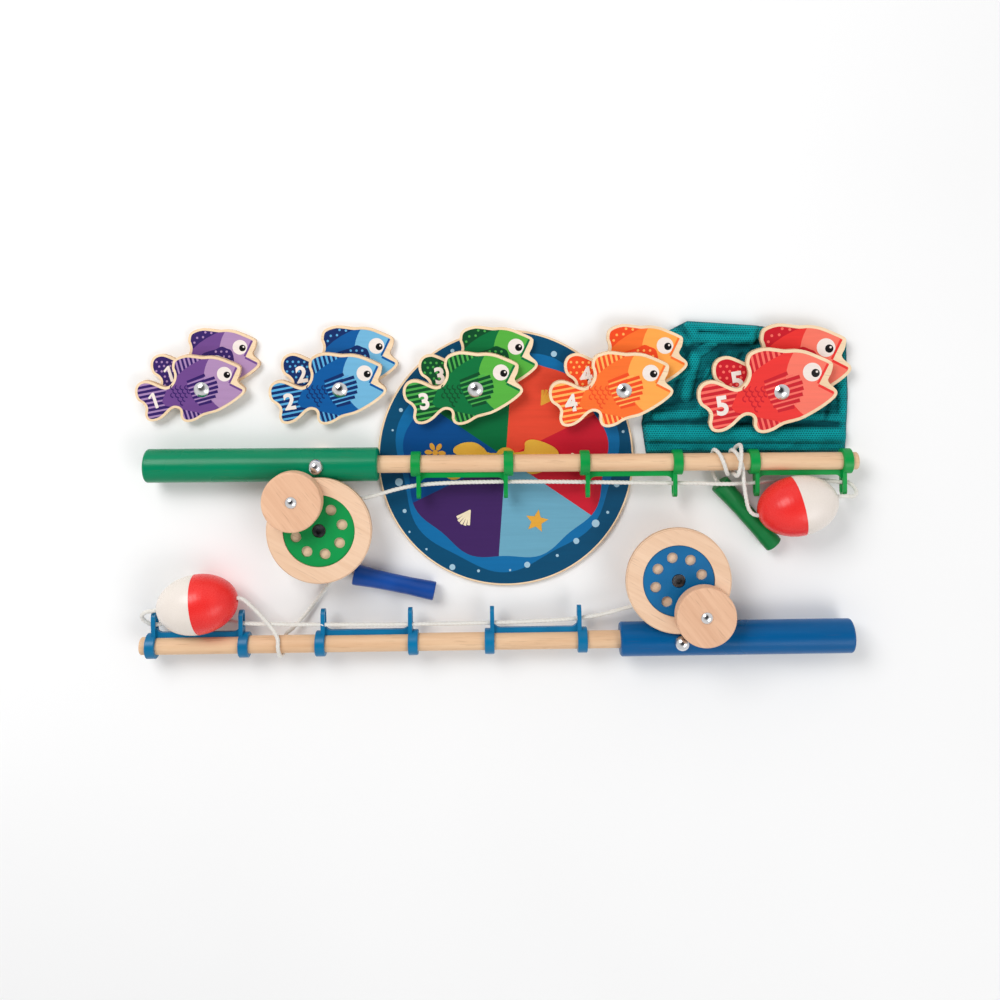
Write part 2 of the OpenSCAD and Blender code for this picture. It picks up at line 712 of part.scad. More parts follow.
module magnet_holder(colour) {
    profile = [
        [0, 0], [holder_r - holder_edge, 0], [holder_r, holder_edge], [holder_r, holder_collar],
        [holder_waist_r + 0.4, 0.25 * holder_len],
        [holder_waist_r, 0.45 * holder_len], [holder_waist_r, 0.7 * holder_len],
        [holder_tip_r, holder_len - 4], [holder_tip_r, holder_len - holder_edge],
        [holder_tip_r - holder_edge, holder_len], [0, holder_len]
    ];
    color(colour) difference() {
        rotate_extrude() polygon(profile);
        translate([0, 0, -1]) cylinder(r = line_d / 2 + 0.5, h = 13);
        translate([0, 0, holder_len - magnet_len - 0.4]) cylinder(r = magnet_r + fit, h = magnet_len + 1);
    }
}

module magnet() {
    color(steel) translate([0, 0, holder_len - magnet_len - 0.4]) turned(magnet_r, magnet_len, 0.3);
}

// A plywood fish of one size, flat, with its stud hole at the origin
module fish_plate(size, colour) {
    color(colour) difference() {
        linear_extrude(fish_t) polygon(size * smooth(fish_outline, 2));
        translate([0, 0, -1]) cylinder(d = stud_shank_d + 2 * fit, h = fish_t + 2);
    }
}

module stud() {
    color(steel) {
        translate([0, 0, fish_t]) dome(stud_d / 2, stud_h);
        translate([0, 0, 0.3]) cylinder(d = stud_shank_d, h = fish_t - 0.3 + stud_h / 2);
    }
}

// The rear fish of a pair lies flat
module at_rear_fish(i) {
    on_table() translate([fish_at[i][0] + rear_shift[i][0], fish_at[i][1] + rear_shift[i][1], fish_base[i]])
        children();
}

// The front fish leans on the rear one's stud and on its lower edge
module at_front_fish(i) {
    span = fish_low * fish_sizes[i];
    edge = rear_shift[i][1] - span;
    lean = atan((stud_h + seat) / span);
    on_table() translate([fish_at[i][0], fish_at[i][1] + edge, fish_base[i] + fish_t + seat])
        rotate([lean, 0, 0]) translate([0, -edge, 0]) children();
}

module fish_studs() {
    for (i = [0:4]) {
        at_front_fish(i) stud();
        at_rear_fish(i) stud();
    }
}

module spinner_board() {
    color(board_blue) on_table() translate([board_at[0], board_at[1], 0]) difference() {
        turned(board_r, board_t, 0.5);
        translate([0, 0, -1]) cylinder(d = pivot_d + 2 * fit, h = board_t + 2);
        translate([0, 0, -1]) cylinder(d = pivot_back_d + 2 * fit, h = 1 + pivot_back_h);
    }
}

// A flat arrow with a rounded head and a rounded tail, both wider than its neck, and an eye at its tail
module spinner_pointer() {
    neck = 0.3 * pointer_half;
    eye = [-0.98 * pointer_r, -0.54 * pointer_half];
    half = [
        [pointer_r, 0], [0.96 * pointer_r, 0.38 * pointer_half], [0.8 * pointer_r, 0.72 * pointer_half],
        [0.6 * pointer_r, 0.96 * pointer_half], [0.46 * pointer_r, pointer_half],
        [0.37 * pointer_r, 0.84 * pointer_half], [0.36 * pointer_r, 0.5 * pointer_half],
        [0.28 * pointer_r, neck], [-0.28 * pointer_r, neck], [-0.4 * pointer_r, 0.6 * pointer_half],
        [-0.56 * pointer_r, 0.94 * pointer_half], [-0.78 * pointer_r, 0.96 * pointer_half],
        [-0.95 * pointer_r, 0.72 * pointer_half], [-0.97 * pointer_r, 0.42 * pointer_half],
        [-0.84 * pointer_r, 0.12 * pointer_half]
    ];
    other = [for (i = [len(half) - 1:-1:1]) [half[i][0], -half[i][1]]];
    color(pointer_yellow) on_table() translate([board_at[0], board_at[1], pointer_z]) rotate([0, 0, pointer_turn])
        difference() {
            union() {
                linear_extrude(pointer_t) polygon(smooth(concat(half, other), 3));
                cylinder(r = 0.6 * pointer_half, h = pointer_t);
                translate(eye) cylinder(r = 0.64 * pointer_half, h = pointer_t);
            }
            translate([eye[0], eye[1] - 0.36 * pointer_half, -1]) cylinder(r = 1.8, h = pointer_t + 2);
            translate([0, 0, -1]) cylinder(r = pivot_d / 2 + run, h = pointer_t + 2);
        }
}

module spinner_pivot() {
    color(steel) on_table() translate([board_at[0], board_at[1], 0]) {
        cylinder(d = pivot_back_d, h = pivot_back_h - seat);
        translate([0, 0, pivot_back_h / 2]) cylinder(d = pivot_d, h = pivot_head_z - pivot_back_h / 2 + pivot_head_h / 2);
        translate([0, 0, pivot_head_z]) turned(pivot_head_d / 2, pivot_head_h, 0.2);
    }
}

// Distance of a point from the line between two others
function apart(p, a, b) = let (t = max(0, min(1, (p - a) * (b - a) / ((b - a) * (b - a))))) norm(p - a - t * (b - a));

// Place of a point of the bag, given as shares of the way across and up
function bag_place(u, v) = [
    lookup(v, bag_left) * (1 - u) + lookup(v, bag_right) * u,
    lookup(u, bag_front) * (1 - v) + lookup(u, bag_back) * v
];

// Height of the folded cloth at a place
function bag_height(p) = bag_low + max([
    for (c = bag_crests) (c[3] - bag_low) * exp(-pow(apart(p, c[0], c[1]) / c[2], 2))
]);

// Number of a point in the bag's upper surface
function at(i, j) = j * (bag_cells[0] + 1) + i;

// The bag is one closed cushion, with its folds in its upper surface
module storage_bag() {
    nu = bag_cells[0];
    nv = bag_cells[1];
    grid = [for (j = [0:nv], i = [0:nu]) [i, j, min(i, nu - i, j, nv - j)]];
    top = [
        for (g = grid) let (p = bag_place(g[0] / nu, g[1] / nv)) [p[0], p[1], bag_height(p) * min(1, 0.4 + 0.3 * g[2])]
    ];
    rim = concat(
        [for (i = [0:nu - 1]) at(i, 0)], [for (j = [0:nv - 1]) at(nu, j)],
        [for (i = [nu:-1:1]) at(i, nv)], [for (j = [nv:-1:1]) at(0, j)]
    );
    m = len(rim);
    base = len(top);
    under = [for (k = rim) [top[k][0], top[k][1], 0]];
    surface = [
        for (j = [0:nv - 1], i = [0:nu - 1], half = [0, 1]) half == 0
            ? [at(i, j), at(i, j + 1), at(i + 1, j + 1)]
            : [at(i, j), at(i + 1, j + 1), at(i + 1, j)]
    ];
    walls = [for (k = [0:m - 1]) let (n = (k + 1) % m) [base + k, rim[k], rim[n], base + n]];
    color(bag_teal) on_table()
        polyhedron(concat(top, under), concat(surface, walls, [[for (k = [0:m - 1]) base + k]]), convexity = 6);
}

on_green_rod() handle(lacquer_green);  // green_handle
on_green_rod() dowel();  // green_dowel
on_green_rod() guide(guide_x[0], plastic_green);  // green_guide_butt
on_green_rod() guide(guide_x[1], plastic_green);  // green_guide_middle
on_green_rod() guide(guide_x[2], plastic_green);  // green_guide_tip
on_green_rod() reel_arm();  // green_reel_arm
on_green_rod() arm_bolt();  // green_arm_bolt
on_green_rod() cap_nut();  // green_cap_nut
on_green_reel() axle_screw();  // green_axle_screw
on_green_reel() back_flange();  // green_back_flange
on_green_reel() drum();  // green_drum
on_green_reel() front_flange();  // green_front_flange
on_green_reel() reel_disc(plastic_green);  // green_reel_disc
on_green_reel() line_winding();  // green_line_winding
on_green_reel() knob_pin();  // green_knob_pin
on_green_reel() knob();  // green_knob
color(twine) on_table() tube(green_route, line_d / 2);  // green_line
on_green_tip() at_float(green_float_at, green_float_turn) float_white_half();  // green_float_white_half
on_green_tip() at_float(green_float_at, green_float_turn) float_red_half();  // green_float_red_half
at_green_holder() magnet_holder(plastic_green);  // green_magnet_holder
at_green_holder() magnet();  // green_magnet
on_blue_rod() handle(lacquer_blue);  // blue_handle
on_blue_rod() dowel();  // blue_dowel
on_blue_rod() guide(guide_x[0], plastic_blue);  // blue_guide_butt
on_blue_rod() guide(guide_x[1], plastic_blue);  // blue_guide_middle
on_blue_rod() guide(guide_x[2], plastic_blue);  // blue_guide_tip
on_blue_rod() reel_arm();  // blue_reel_arm
on_blue_rod() arm_bolt();  // blue_arm_bolt
on_blue_rod() cap_nut();  // blue_cap_nut
on_blue_reel() axle_screw();  // blue_axle_screw
on_blue_reel() back_flange();  // blue_back_flange
on_blue_reel() drum();  // blue_drum
on_blue_reel() front_flange();  // blue_front_flange
on_blue_reel() reel_disc(plastic_blue);  // blue_reel_disc
on_blue_reel() line_winding();  // blue_line_winding
on_blue_reel() knob_pin();  // blue_knob_pin
on_blue_reel() knob();  // blue_knob
color(twine) on_table() tube(blue_route, line_d / 2);  // blue_line
on_blue_tip() at_float(blue_float_at, blue_float_turn) float_white_half();  // blue_float_white_half
on_blue_tip() at_float(blue_float_at, blue_float_turn) float_red_half();  // blue_float_red_half
at_blue_holder() magnet_holder(plastic_blue);  // blue_magnet_holder
at_blue_holder() magnet();  // blue_magnet
at_front_fish(0) fish_plate(fish_sizes[0], fish_colours[0]);  // fish_1_striped
at_rear_fish(0) fish_plate(fish_sizes[0], fish_colours[0]);  // fish_1_dotted
at_front_fish(1) fish_plate(fish_sizes[1], fish_colours[1]);  // fish_2_striped
at_rear_fish(1) fish_plate(fish_sizes[1], fish_colours[1]);  // fish_2_dotted
at_front_fish(2) fish_plate(fish_sizes[2], fish_colours[2]);  // fish_3_striped
at_rear_fish(2) fish_plate(fish_sizes[2], fish_colours[2]);  // fish_3_dotted
at_front_fish(3) fish_plate(fish_sizes[3], fish_colours[3]);  // fish_4_striped
at_rear_fish(3) fish_plate(fish_sizes[3], fish_colours[3]);  // fish_4_dotted
at_front_fish(4) fish_plate(fish_sizes[4], fish_colours[4]);  // fish_5_striped
at_rear_fish(4) fish_plate(fish_sizes[4], fish_colours[4]);  // fish_5_dotted
fish_studs();
spinner_board();
spinner_pointer();
spinner_pivot();
storage_bag();
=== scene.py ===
import math
import random

import bmesh
import bpy
from mathutils import Matrix, Vector, noise


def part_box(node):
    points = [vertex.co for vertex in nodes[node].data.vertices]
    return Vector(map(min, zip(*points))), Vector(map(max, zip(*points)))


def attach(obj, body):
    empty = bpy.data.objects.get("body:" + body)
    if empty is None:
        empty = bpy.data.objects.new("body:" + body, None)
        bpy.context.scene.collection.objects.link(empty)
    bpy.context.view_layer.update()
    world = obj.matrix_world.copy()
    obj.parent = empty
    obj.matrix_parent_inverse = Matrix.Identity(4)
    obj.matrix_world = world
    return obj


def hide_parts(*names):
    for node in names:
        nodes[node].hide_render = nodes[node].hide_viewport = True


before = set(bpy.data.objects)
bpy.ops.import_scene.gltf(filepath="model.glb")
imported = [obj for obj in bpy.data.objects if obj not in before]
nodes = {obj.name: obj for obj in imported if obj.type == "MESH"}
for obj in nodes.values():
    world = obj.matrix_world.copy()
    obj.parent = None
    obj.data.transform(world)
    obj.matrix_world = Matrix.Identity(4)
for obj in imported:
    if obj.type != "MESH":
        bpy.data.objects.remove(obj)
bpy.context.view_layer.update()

MM = 0.001
# the point of the layout, in millimetres, that lies at the frame's origin
MIDDLE = (-4.2833, 12.2852)


# ---------------------------------------------------------------- small helpers
def place(x, y, z=0.0):
    """A point of the layout, in millimetres, as a point of the frame."""
    return Vector(((x - MIDDLE[0]) * MM, (y - MIDDLE[1]) * MM, z * MM))


def srgb(r, g, b):
    """A screen colour, 0 to 255, as the linear colour that a shader takes."""
    def lin(c):
        c /= 255
        return c / 12.92 if c <= 0.04045 else ((c + 0.055) / 1.055) ** 2.4
    return (lin(r), lin(g), lin(b), 1.0)


def smooth_object(name, verts, faces, look):
    mesh = bpy.data.meshes.new(name)
    mesh.from_pydata([tuple(v) for v in verts], [], faces)
    mesh.materials.append(look)
    mesh.polygons.foreach_set("use_smooth", [True] * len(mesh.polygons))
    mesh.update()
    obj = bpy.data.objects.new(name, mesh)
    bpy.context.scene.collection.objects.link(obj)
    return obj


def smooth_path(points, step):
    """A smooth curve through the points, sampled about every step."""
    pts = [Vector(p) for p in points]
    pts = [2 * pts[0] - pts[1]] + pts + [2 * pts[-1] - pts[-2]]
    out = []
    for a, b, c, d in zip(pts, pts[1:], pts[2:], pts[3:]):
        ta = max((b - a).length, 1e-9) ** 0.5
        tb = max((c - b).length, 1e-9) ** 0.5
        tc = max((d - c).length, 1e-9) ** 0.5
        m1 = (b - a) / ta - (c - a) / (ta + tb) + (c - b) / tb
        m2 = (c - b) / tb - (d - b) / (tb + tc) + (d - c) / tc
        m1, m2 = m1 * tb, m2 * tb
        n = max(2, round((c - b).length / step))
        for i in range(n):
            t = i / n
            out.append((2 * t ** 3 - 3 * t ** 2 + 1) * b + (t ** 3 - 2 * t ** 2 + t) * m1
                       + (-2 * t ** 3 + 3 * t ** 2) * c + (t ** 3 - t ** 2) * m2)
    out.append(pts[-2])
    return out


# ---------------------------------------------------------------- camera
# it looks straight down and its frame is shifted, as the photograph's upright walls show
CAMERA_AT = (0, 153.9, 857)
cam_data = bpy.data.cameras.new("camera")
cam_data.lens = 38.1
cam_data.sensor_width = 36
cam_data.shift_y = -0.19
cam_data.clip_start = 0.02
camera = bpy.data.objects.new("camera", cam_data)
camera.location = place(*CAMERA_AT)
bpy.context.scene.collection.objects.link(camera)
bpy.context.scene.camera = camera

# ---------------------------------------------------------------- material building
class Shader:
    """Adds nodes to a material or to a group, and links what it is given."""

    def __init__(self, tree):
        self.tree = tree

    def add(self, kind, inputs=None, **settings):
        n = self.tree.nodes.new("ShaderNode" + kind)
        for key, value in settings.items():
            setattr(n, key, value)
        for key, value in (inputs or {}).items():
            self.put(n.inputs[key], value)
        return n

    def put(self, socket, value):
        if isinstance(value, bpy.types.NodeSocket):
            self.tree.links.new(value, socket)
        else:
            socket.default_value = value

    def math(self, operation, a, b=0.0):
        n = self.add("Math", operation=operation)
        for socket, value in zip(n.inputs, (a, b)):
            self.put(socket, value)
        return n.outputs[0]

    def mix(self, factor, a, b, blend="MIX"):
        n = self.add("Mix", data_type="RGBA", blend_type=blend)
        self.put(n.inputs[0], factor)
        self.put(n.inputs[6], a)
        self.put(n.inputs[7], b)
        return n.outputs[2]

    def span(self, value, low, high, to_low=0.0, to_high=1.0):
        n = self.add("MapRange", {"Value": value, "From Min": low, "From Max": high,
                                  "To Min": to_low, "To Max": to_high})
        return n.outputs[0]

    def noise(self, vector, scale, detail=3.0, rough=0.5, stretch=(1, 1, 1)):
        m = self.add("Mapping", {"Vector": vector, "Scale": stretch})
        n = self.add("TexNoise", {"Vector": m.outputs[0], "Scale": scale, "Detail": detail,
                                  "Roughness": rough})
        return n.outputs[0]


def group(name, inputs, outputs, build):
    tree = bpy.data.node_groups.new(name, "ShaderNodeTree")
    for label, kind in inputs:
        tree.interface.new_socket(label, in_out="INPUT", socket_type="NodeSocket" + kind)
    for label, kind in outputs:
        tree.interface.new_socket(label, in_out="OUTPUT", socket_type="NodeSocket" + kind)
    s = Shader(tree)
    first = tree.nodes.new("NodeGroupInput")
    last = tree.nodes.new("NodeGroupOutput")
    for label, value in build(s, first.outputs).items():
        s.put(last.inputs[label], value)
    return tree


PORE_BROWN = (0.16, 0.07, 0.03, 1)
GLUE_BROWN = srgb(178, 128, 84)
WOOD_ROUGH = 0.55


def wood_group(s, i):
    """Fine straight grain along X, with pores and slow changes of tone."""
    v = i["Vector"]
    streak = s.noise(v, 260, 5, 0.6, (0.05, 1, 1))
    slow = s.noise(v, 34, 2, 0.5, (0.16, 1, 1))
    pore = s.noise(v, 900, 2, 0.5, (0.06, 1, 1))
    tone = s.math("ADD", s.math("MULTIPLY", streak, 0.62), s.math("MULTIPLY", slow, 0.5))
    tone = s.span(tone, 0.36, 0.76)
    pores = s.span(pore, 0.61, 0.72)
    color = s.mix(tone, i["Light"], i["Dark"])
    color = s.mix(s.math("MULTIPLY", pores, 0.34), color, s.mix(0.55, i["Dark"], PORE_BROWN))
    height = s.math("SUBTRACT", s.math("MULTIPLY", streak, 0.5), s.math("MULTIPLY", pores, 0.5))
    return {"Color": color, "Height": height}


def ply_group(s, i):
    """The glued layers on the cut edge of plywood, and a mask of where that edge is."""
    sep = s.add("SeparateXYZ", {"Vector": i["Vector"]})
    z = s.math("MULTIPLY", sep.outputs[2], i["Layers"])
    wobble = s.math("MULTIPLY", s.noise(i["Vector"], 60, 2), 0.3)
    saw = s.math("FRACT", s.math("ADD", z, wobble))
    band = s.span(s.math("ABSOLUTE", s.math("SUBTRACT", saw, 0.5)), 0.2, 0.28)
    ends = s.noise(i["Vector"], 700, 4, 0.7)
    color = s.mix(band, i["Light"], i["Dark"])
    color = s.mix(s.span(ends, 0.45, 0.75, 0.0, 0.4), color, i["Dark"])
    normal = s.add("SeparateXYZ", {"Vector": s.add("NewGeometry").outputs["Normal"]})
    side = s.span(s.math("ABSOLUTE", normal.outputs[2]), 0.5, 0.8, 1.0, 0.0)
    return {"Color": color, "Side": side}


COLOR, VECTOR, FLOAT = "Color", "Vector", "Float"
WOOD = group("wood_grain", [("Vector", VECTOR), ("Light", COLOR), ("Dark", COLOR)],
             [("Color", COLOR), ("Height", FLOAT)], wood_group)
PLY = group("plywood_edge", [("Vector", VECTOR), ("Layers", FLOAT), ("Light", COLOR), ("Dark", COLOR)],
            [("Color", COLOR), ("Side", FLOAT)], ply_group)


def material(name, build):
    """A material from the shader inputs that build returns; bump is (height, distance)."""
    m = bpy.data.materials.new(name)
    m.use_nodes = True
    tree = m.node_tree
    tree.nodes.clear()
    s = Shader(tree)
    out = s.add("OutputMaterial")
    bsdf = s.add("BsdfPrincipled")
    s.put(out.inputs["Surface"], bsdf.outputs[0])
    coords = s.add("TexCoord")
    values = build(s, coords.outputs["Object"], coords.outputs["UV"])
    bump = values.pop("bump", None)
    if bump:
        height, distance = bump
        n = s.add("Bump", {"Height": height, "Distance": distance, "Strength": 1.0})
        values["Normal"] = n.outputs[0]
    for key, value in values.items():
        s.put(bsdf.inputs[key], value)
    return m


def grouped(s, tree, inputs):
    n = s.tree.nodes.new("ShaderNodeGroup")
    n.node_tree = tree
    for key, value in inputs.items():
        s.put(n.inputs[key], value)
    return n.outputs


def wood(name, light, dark, turn=0.0):
    """Bare wood, its grain turned about Z by an angle in radians."""
    def build(s, obj, uv):
        v = s.add("Mapping", {"Vector": obj, "Rotation": (0, 0, turn)}).outputs[0]
        grain = grouped(s, WOOD, {"Vector": v, "Light": light, "Dark": dark})
        rough = s.span(grain["Height"], 0, 0.5, WOOD_ROUGH + 0.08, WOOD_ROUGH - 0.05)
        return {"Base Color": grain["Color"], "Roughness": rough, "bump": (grain["Height"], 0.00012)}
    return material(name, build)


def plywood(name, light, dark, layers, turn):
    """Bare plywood with so many glued layers to the metre."""
    def build(s, obj, uv):
        v = s.add("Mapping", {"Vector": obj, "Rotation": (0, 0, turn)}).outputs[0]
        grain = grouped(s, WOOD, {"Vector": v, "Light": light, "Dark": dark})
        edge = grouped(s, PLY, {"Vector": obj, "Layers": layers, "Light": light, "Dark": GLUE_BROWN})
        return {"Base Color": s.mix(edge["Side"], grain["Color"], edge["Color"]),
                "Roughness": WOOD_ROUGH, "bump": (grain["Height"], 0.00008)}
    return material(name, build)


def lacquer(name, color, deep):
    """Coloured gloss lacquer with the grain just showing through."""
    def build(s, obj, uv):
        grain = grouped(s, WOOD, {"Vector": obj, "Light": color, "Dark": deep})
        slow = s.noise(obj, 22, 2)
        tone = s.mix(s.span(slow, 0.3, 0.7, 0.0, 0.35), color, deep)
        return {"Base Color": s.mix(0.45, tone, grain["Color"]),
                "Roughness": s.span(slow, 0.3, 0.7, 0.24, 0.34), "Specular IOR Level": 0.18,
                "Coat Weight": 0.03, "Coat Roughness": 0.2, "bump": (grain["Height"], 0.00004)}
    return material(name, build)


def plastic(name, color, deep, rough=0.33, wave=0.00002):
    """Moulded plastic or smooth paint, with slow changes of tone and a surface wave in metres."""
    def build(s, obj, uv):
        slow = s.noise(obj, 45, 2)
        fine = s.noise(obj, 1500, 2)
        return {"Base Color": s.mix(s.span(slow, 0.3, 0.7), color, deep),
                "Roughness": s.span(fine, 0.3, 0.7, rough - 0.05, rough + 0.07),
                "Specular IOR Level": 0.3,
                "bump": (s.math("ADD", slow, s.math("MULTIPLY", fine, 0.1)), wave)}
    return material(name, build)


SMEAR_GREY = (0.45, 0.45, 0.46, 1)


def metal(name, color, rough=0.16):
    """Polished metal with fine scratches and faint smears."""
    def build(s, obj, uv):
        scratch = s.noise(obj, 1400, 3, 0.6, (1, 0.2, 1))
        smear = s.noise(obj, 180, 2)
        return {"Base Color": s.mix(s.span(smear, 0.35, 0.7, 0.0, 0.3), color, SMEAR_GREY),
                "Metallic": 1.0, "Roughness": s.span(smear, 0.3, 0.7, rough - 0.05, rough + 0.1),
                "bump": (scratch, 0.000004)}
    return material(name, build)


def ink(name, color, rough=0.4):
    """A printed field of colour on wood, with a trace of the grain and of the print's dots."""
    def build(s, obj, uv):
        grain = s.noise(obj, 300, 4, 0.6, (0.06, 1, 1))
        dots = s.noise(obj, 2600, 1)
        shade = s.span(grain, 0.3, 0.75, 1.03, 0.93)
        grey = s.add("CombineColor", {"Red": shade, "Green": shade, "Blue": shade}).outputs[0]
        return {"Base Color": s.mix(1.0, color, grey, "MULTIPLY"),
                "Roughness": s.span(dots, 0.3, 0.7, rough - 0.06, rough + 0.08),
                "Specular IOR Level": 0.25, "bump": (grain, 0.00003)}
    return material(name, build)


m_dowel = wood("dowel_wood", srgb(234, 198, 160), srgb(214, 170, 130))
m_knob = wood("knob_wood", srgb(234, 190, 156), srgb(212, 162, 128), 0.9)
m_arm = plywood("arm_plywood", srgb(243, 212, 178), srgb(222, 182, 142), 520, 1.2)
m_flange = plywood("flange_plywood", srgb(240, 206, 176), srgb(222, 182, 148), 520, 0.5)
m_fish_wood = plywood("fish_plywood", srgb(247, 222, 186), srgb(232, 198, 158), 620, 0.15)
m_green_lacquer = lacquer("green_lacquer", srgb(0, 132, 90), srgb(0, 112, 76))
m_blue_lacquer = lacquer("blue_lacquer", srgb(0, 92, 152), srgb(0, 76, 128))
m_green_plastic = plastic("green_plastic", srgb(0, 152, 68), srgb(0, 140, 60))
m_blue_plastic = plastic("blue_plastic", srgb(0, 116, 164), srgb(0, 102, 148))
m_green_holder = plastic("green_holder_plastic", srgb(0, 126, 62), srgb(0, 112, 52))
m_blue_holder = plastic("blue_holder_plastic", srgb(16, 74, 158), srgb(12, 62, 138))
m_green_paint = plastic("green_disc_paint", srgb(0, 148, 72), srgb(0, 134, 64), 0.42, 0.00004)
m_blue_paint = plastic("blue_disc_paint", srgb(0, 108, 164), srgb(0, 96, 150), 0.42, 0.00004)
m_red = plastic("float_red_plastic", srgb(238, 54, 50), srgb(228, 44, 42), 0.27)
m_white = plastic("float_white_plastic", srgb(232, 222, 214), srgb(226, 216, 206), 0.27)
m_steel = metal("polished_steel", (0.78, 0.78, 0.79, 1))
m_magnet = metal("magnet_plating", (0.55, 0.55, 0.57, 1), 0.3)
m_screw = metal("blackened_steel", (0.05, 0.05, 0.055, 1), 0.32)
m_pointer = plastic("pointer_plastic", srgb(226, 178, 66), srgb(214, 164, 52), 0.36)


def cotton(s, obj, uv):
    """Twisted cotton: strands come from the mesh, fibres from fine noise."""
    fibre = s.noise(obj, 2400, 4, 0.7)
    slow = s.noise(obj, 160, 2)
    color = s.mix(s.span(fibre, 0.35, 0.7), srgb(240, 238, 232), srgb(204, 200, 192))
    color = s.mix(s.span(slow, 0.4, 0.7, 0.0, 0.25), color, srgb(214, 206, 194))
    return {"Base Color": color, "Roughness": 0.92, "Sheen Weight": 0.35, "bump": (fibre, 0.0002)}


m_cotton = material("twisted_cotton", cotton)

# ---------------------------------------------------------------- lines
DOWEL_R, DOWEL_Z, LINE_D = 6.9, 17.1, 3.4
GREEN_DOWEL_Y, BLUE_DOWEL_Y = 33.6, -111.1
WRAP_R = DOWEL_R + LINE_D / 2 + 0.1
OVER_R = WRAP_R + LINE_D + 0.1
PATH_STEP = 0.9 * MM
TWIST_PITCH = 9.5 * MM
WINDING_SLACK = 0.6 * MM
COIL_STEPS = 40


def wrap(x_from, x_to, start, end, r_from, r_to, middle_y, n):
    """Points of a turn round a dowel, between two angles in degrees."""
    out = []
    for i in range(n + 1):
        t = i / n
        a = math.radians(start + (end - start) * t)
        r = (r_from + (r_to - r_from) * t) / math.cos(math.radians((end - start) / n / 2))
        out.append([x_from + (x_to - x_from) * t, middle_y + r * math.cos(a), DOWEL_Z + r * math.sin(a)])
    return out


green_route = [
    [-144.9, -4.6, 18], [-104, 5.4, 17], [-64.2, 14.9, 16.5], [140, 16.4, 16.5], [158, 16.4, 17],
    [171, 16.2, 18.8], [185, 16.2, 18.8], [197, 16.6, 17], [205.6, 16.9, 16.5], [215, 17, 9.6],
    [228, 17.3, 3.2], [243, 17.4, 2.8], [255, 17.4, 5.4], [263.5, 17.4, 11.5], [269.8, 17.3, 16.4],
    [275.4, 17.3, 16.5], [279.8, 14.6, 17.6], [281.8, 10, 20.4], [278.4, 7.2, 23.4], [272.5, 7.4, 24.2],
    [267.4, 7, 23.4], [201.6, -7.7, 23.4], [196.6, -3.8, 23.4], [194, 5, 23.6], [192, 17, 24.6],
    *wrap(190.4, 184.5, 105, 0, WRAP_R, WRAP_R, GREEN_DOWEL_Y, 3),
    *wrap(184.2, 185.4, -45, -180, WRAP_R, WRAP_R, GREEN_DOWEL_Y, 3),
    *wrap(186.7, 188, 135, 90, OVER_R, OVER_R, GREEN_DOWEL_Y, 1),
    *wrap(189.4, 190.5, 45, 0, OVER_R, OVER_R, GREEN_DOWEL_Y, 1),
    *wrap(188.4, 185.9, -45, -90, OVER_R, OVER_R, GREEN_DOWEL_Y, 1),
    *wrap(183.3, 180.9, -135, -180, OVER_R - 1, WRAP_R + 0.6, GREEN_DOWEL_Y, 1),
    *wrap(178.3, 170.4, 135, 0, WRAP_R, WRAP_R, GREEN_DOWEL_Y, 3),
    *wrap(170, 169.8, -45, -80, WRAP_R, WRAP_R, GREEN_DOWEL_Y, 1),
    [170.2, 26.5, 7.9], [173.3, 18.2, 8.2], [181, 9.6, 8.1]]
blue_route = [
    [142.7, -71, 18], [104, -81.5, 17], [62.6, -90.7, 16.5], [-207, -94.7, 16.5], [-216, -95, 9.6],
    [-229, -95.8, 3.4], [-246, -96.2, 3], [-258, -96.1, 6], [-266, -95.8, 11.8], [-271.4, -95.7, 16.4],
    [-276.8, -95.7, 16.5], [-281.2, -93, 17.6], [-283.2, -88.4, 20.4], [-279.6, -84.4, 23.2],
    [-272.6, -82.9, 23.6], [-204.4, -73.3, 23.4], [-199, -76.8, 23.3], [-188.5, -87.5, 22.2],
    [-179.5, -98, 22.2],
    *wrap(-175, -171, 50, 310, WRAP_R, WRAP_R, BLUE_DOWEL_Y, 6),
    [-167.5, -102.4, 8], [-158, -92.6, 5], [-148, -80.4, 3.2], [-140, -69.4, 3.6], [-133, -61, 5.6],
    [-124.5, -56.5, 8], [-109.2, -59.7, 8.1]]


def strand_tube(name, path, radius, pitch, sides=12):
    """A three-strand twisted cord along a path."""
    verts, faces = [], []
    m = len(path)
    normal, run = None, 0.0
    for i, p in enumerate(path):
        ahead = (path[min(i + 1, m - 1)] - path[max(i - 1, 0)]).normalized()
        if normal is None:
            normal = ahead.cross(Vector((0, 0, 1))).normalized()
        normal = (normal - ahead * normal.dot(ahead)).normalized()
        side = ahead.cross(normal)
        if i:
            run += (p - path[i - 1]).length
        for k in range(sides):
            a = 2 * math.pi * k / sides
            r = radius * (0.9 + 0.1 * math.cos(3 * a))
            t = a + 2 * math.pi * run / pitch
            verts.append(p + r * (math.cos(t) * normal + math.sin(t) * side))
    for i in range(m - 1):
        j = i + 1
        for k in range(sides):
            n = (k + 1) % sides
            faces.append((i * sides + k, j * sides + k, j * sides + n, i * sides + n))
    faces.append(tuple(reversed(range(sides))))
    faces.append(tuple((m - 1) * sides + k for k in range(sides)))
    faces = [tuple(reversed(f)) for f in faces]
    return smooth_object(name, verts, faces, m_cotton)


for colour, route in (("green", green_route), ("blue", blue_route)):
    path = smooth_path([place(*p) for p in route], PATH_STEP)
    cord = strand_tube(colour + "_cotton_line", path, LINE_D / 2 * MM, TWIST_PITCH)
    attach(cord, "set")
    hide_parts(colour + "_line")

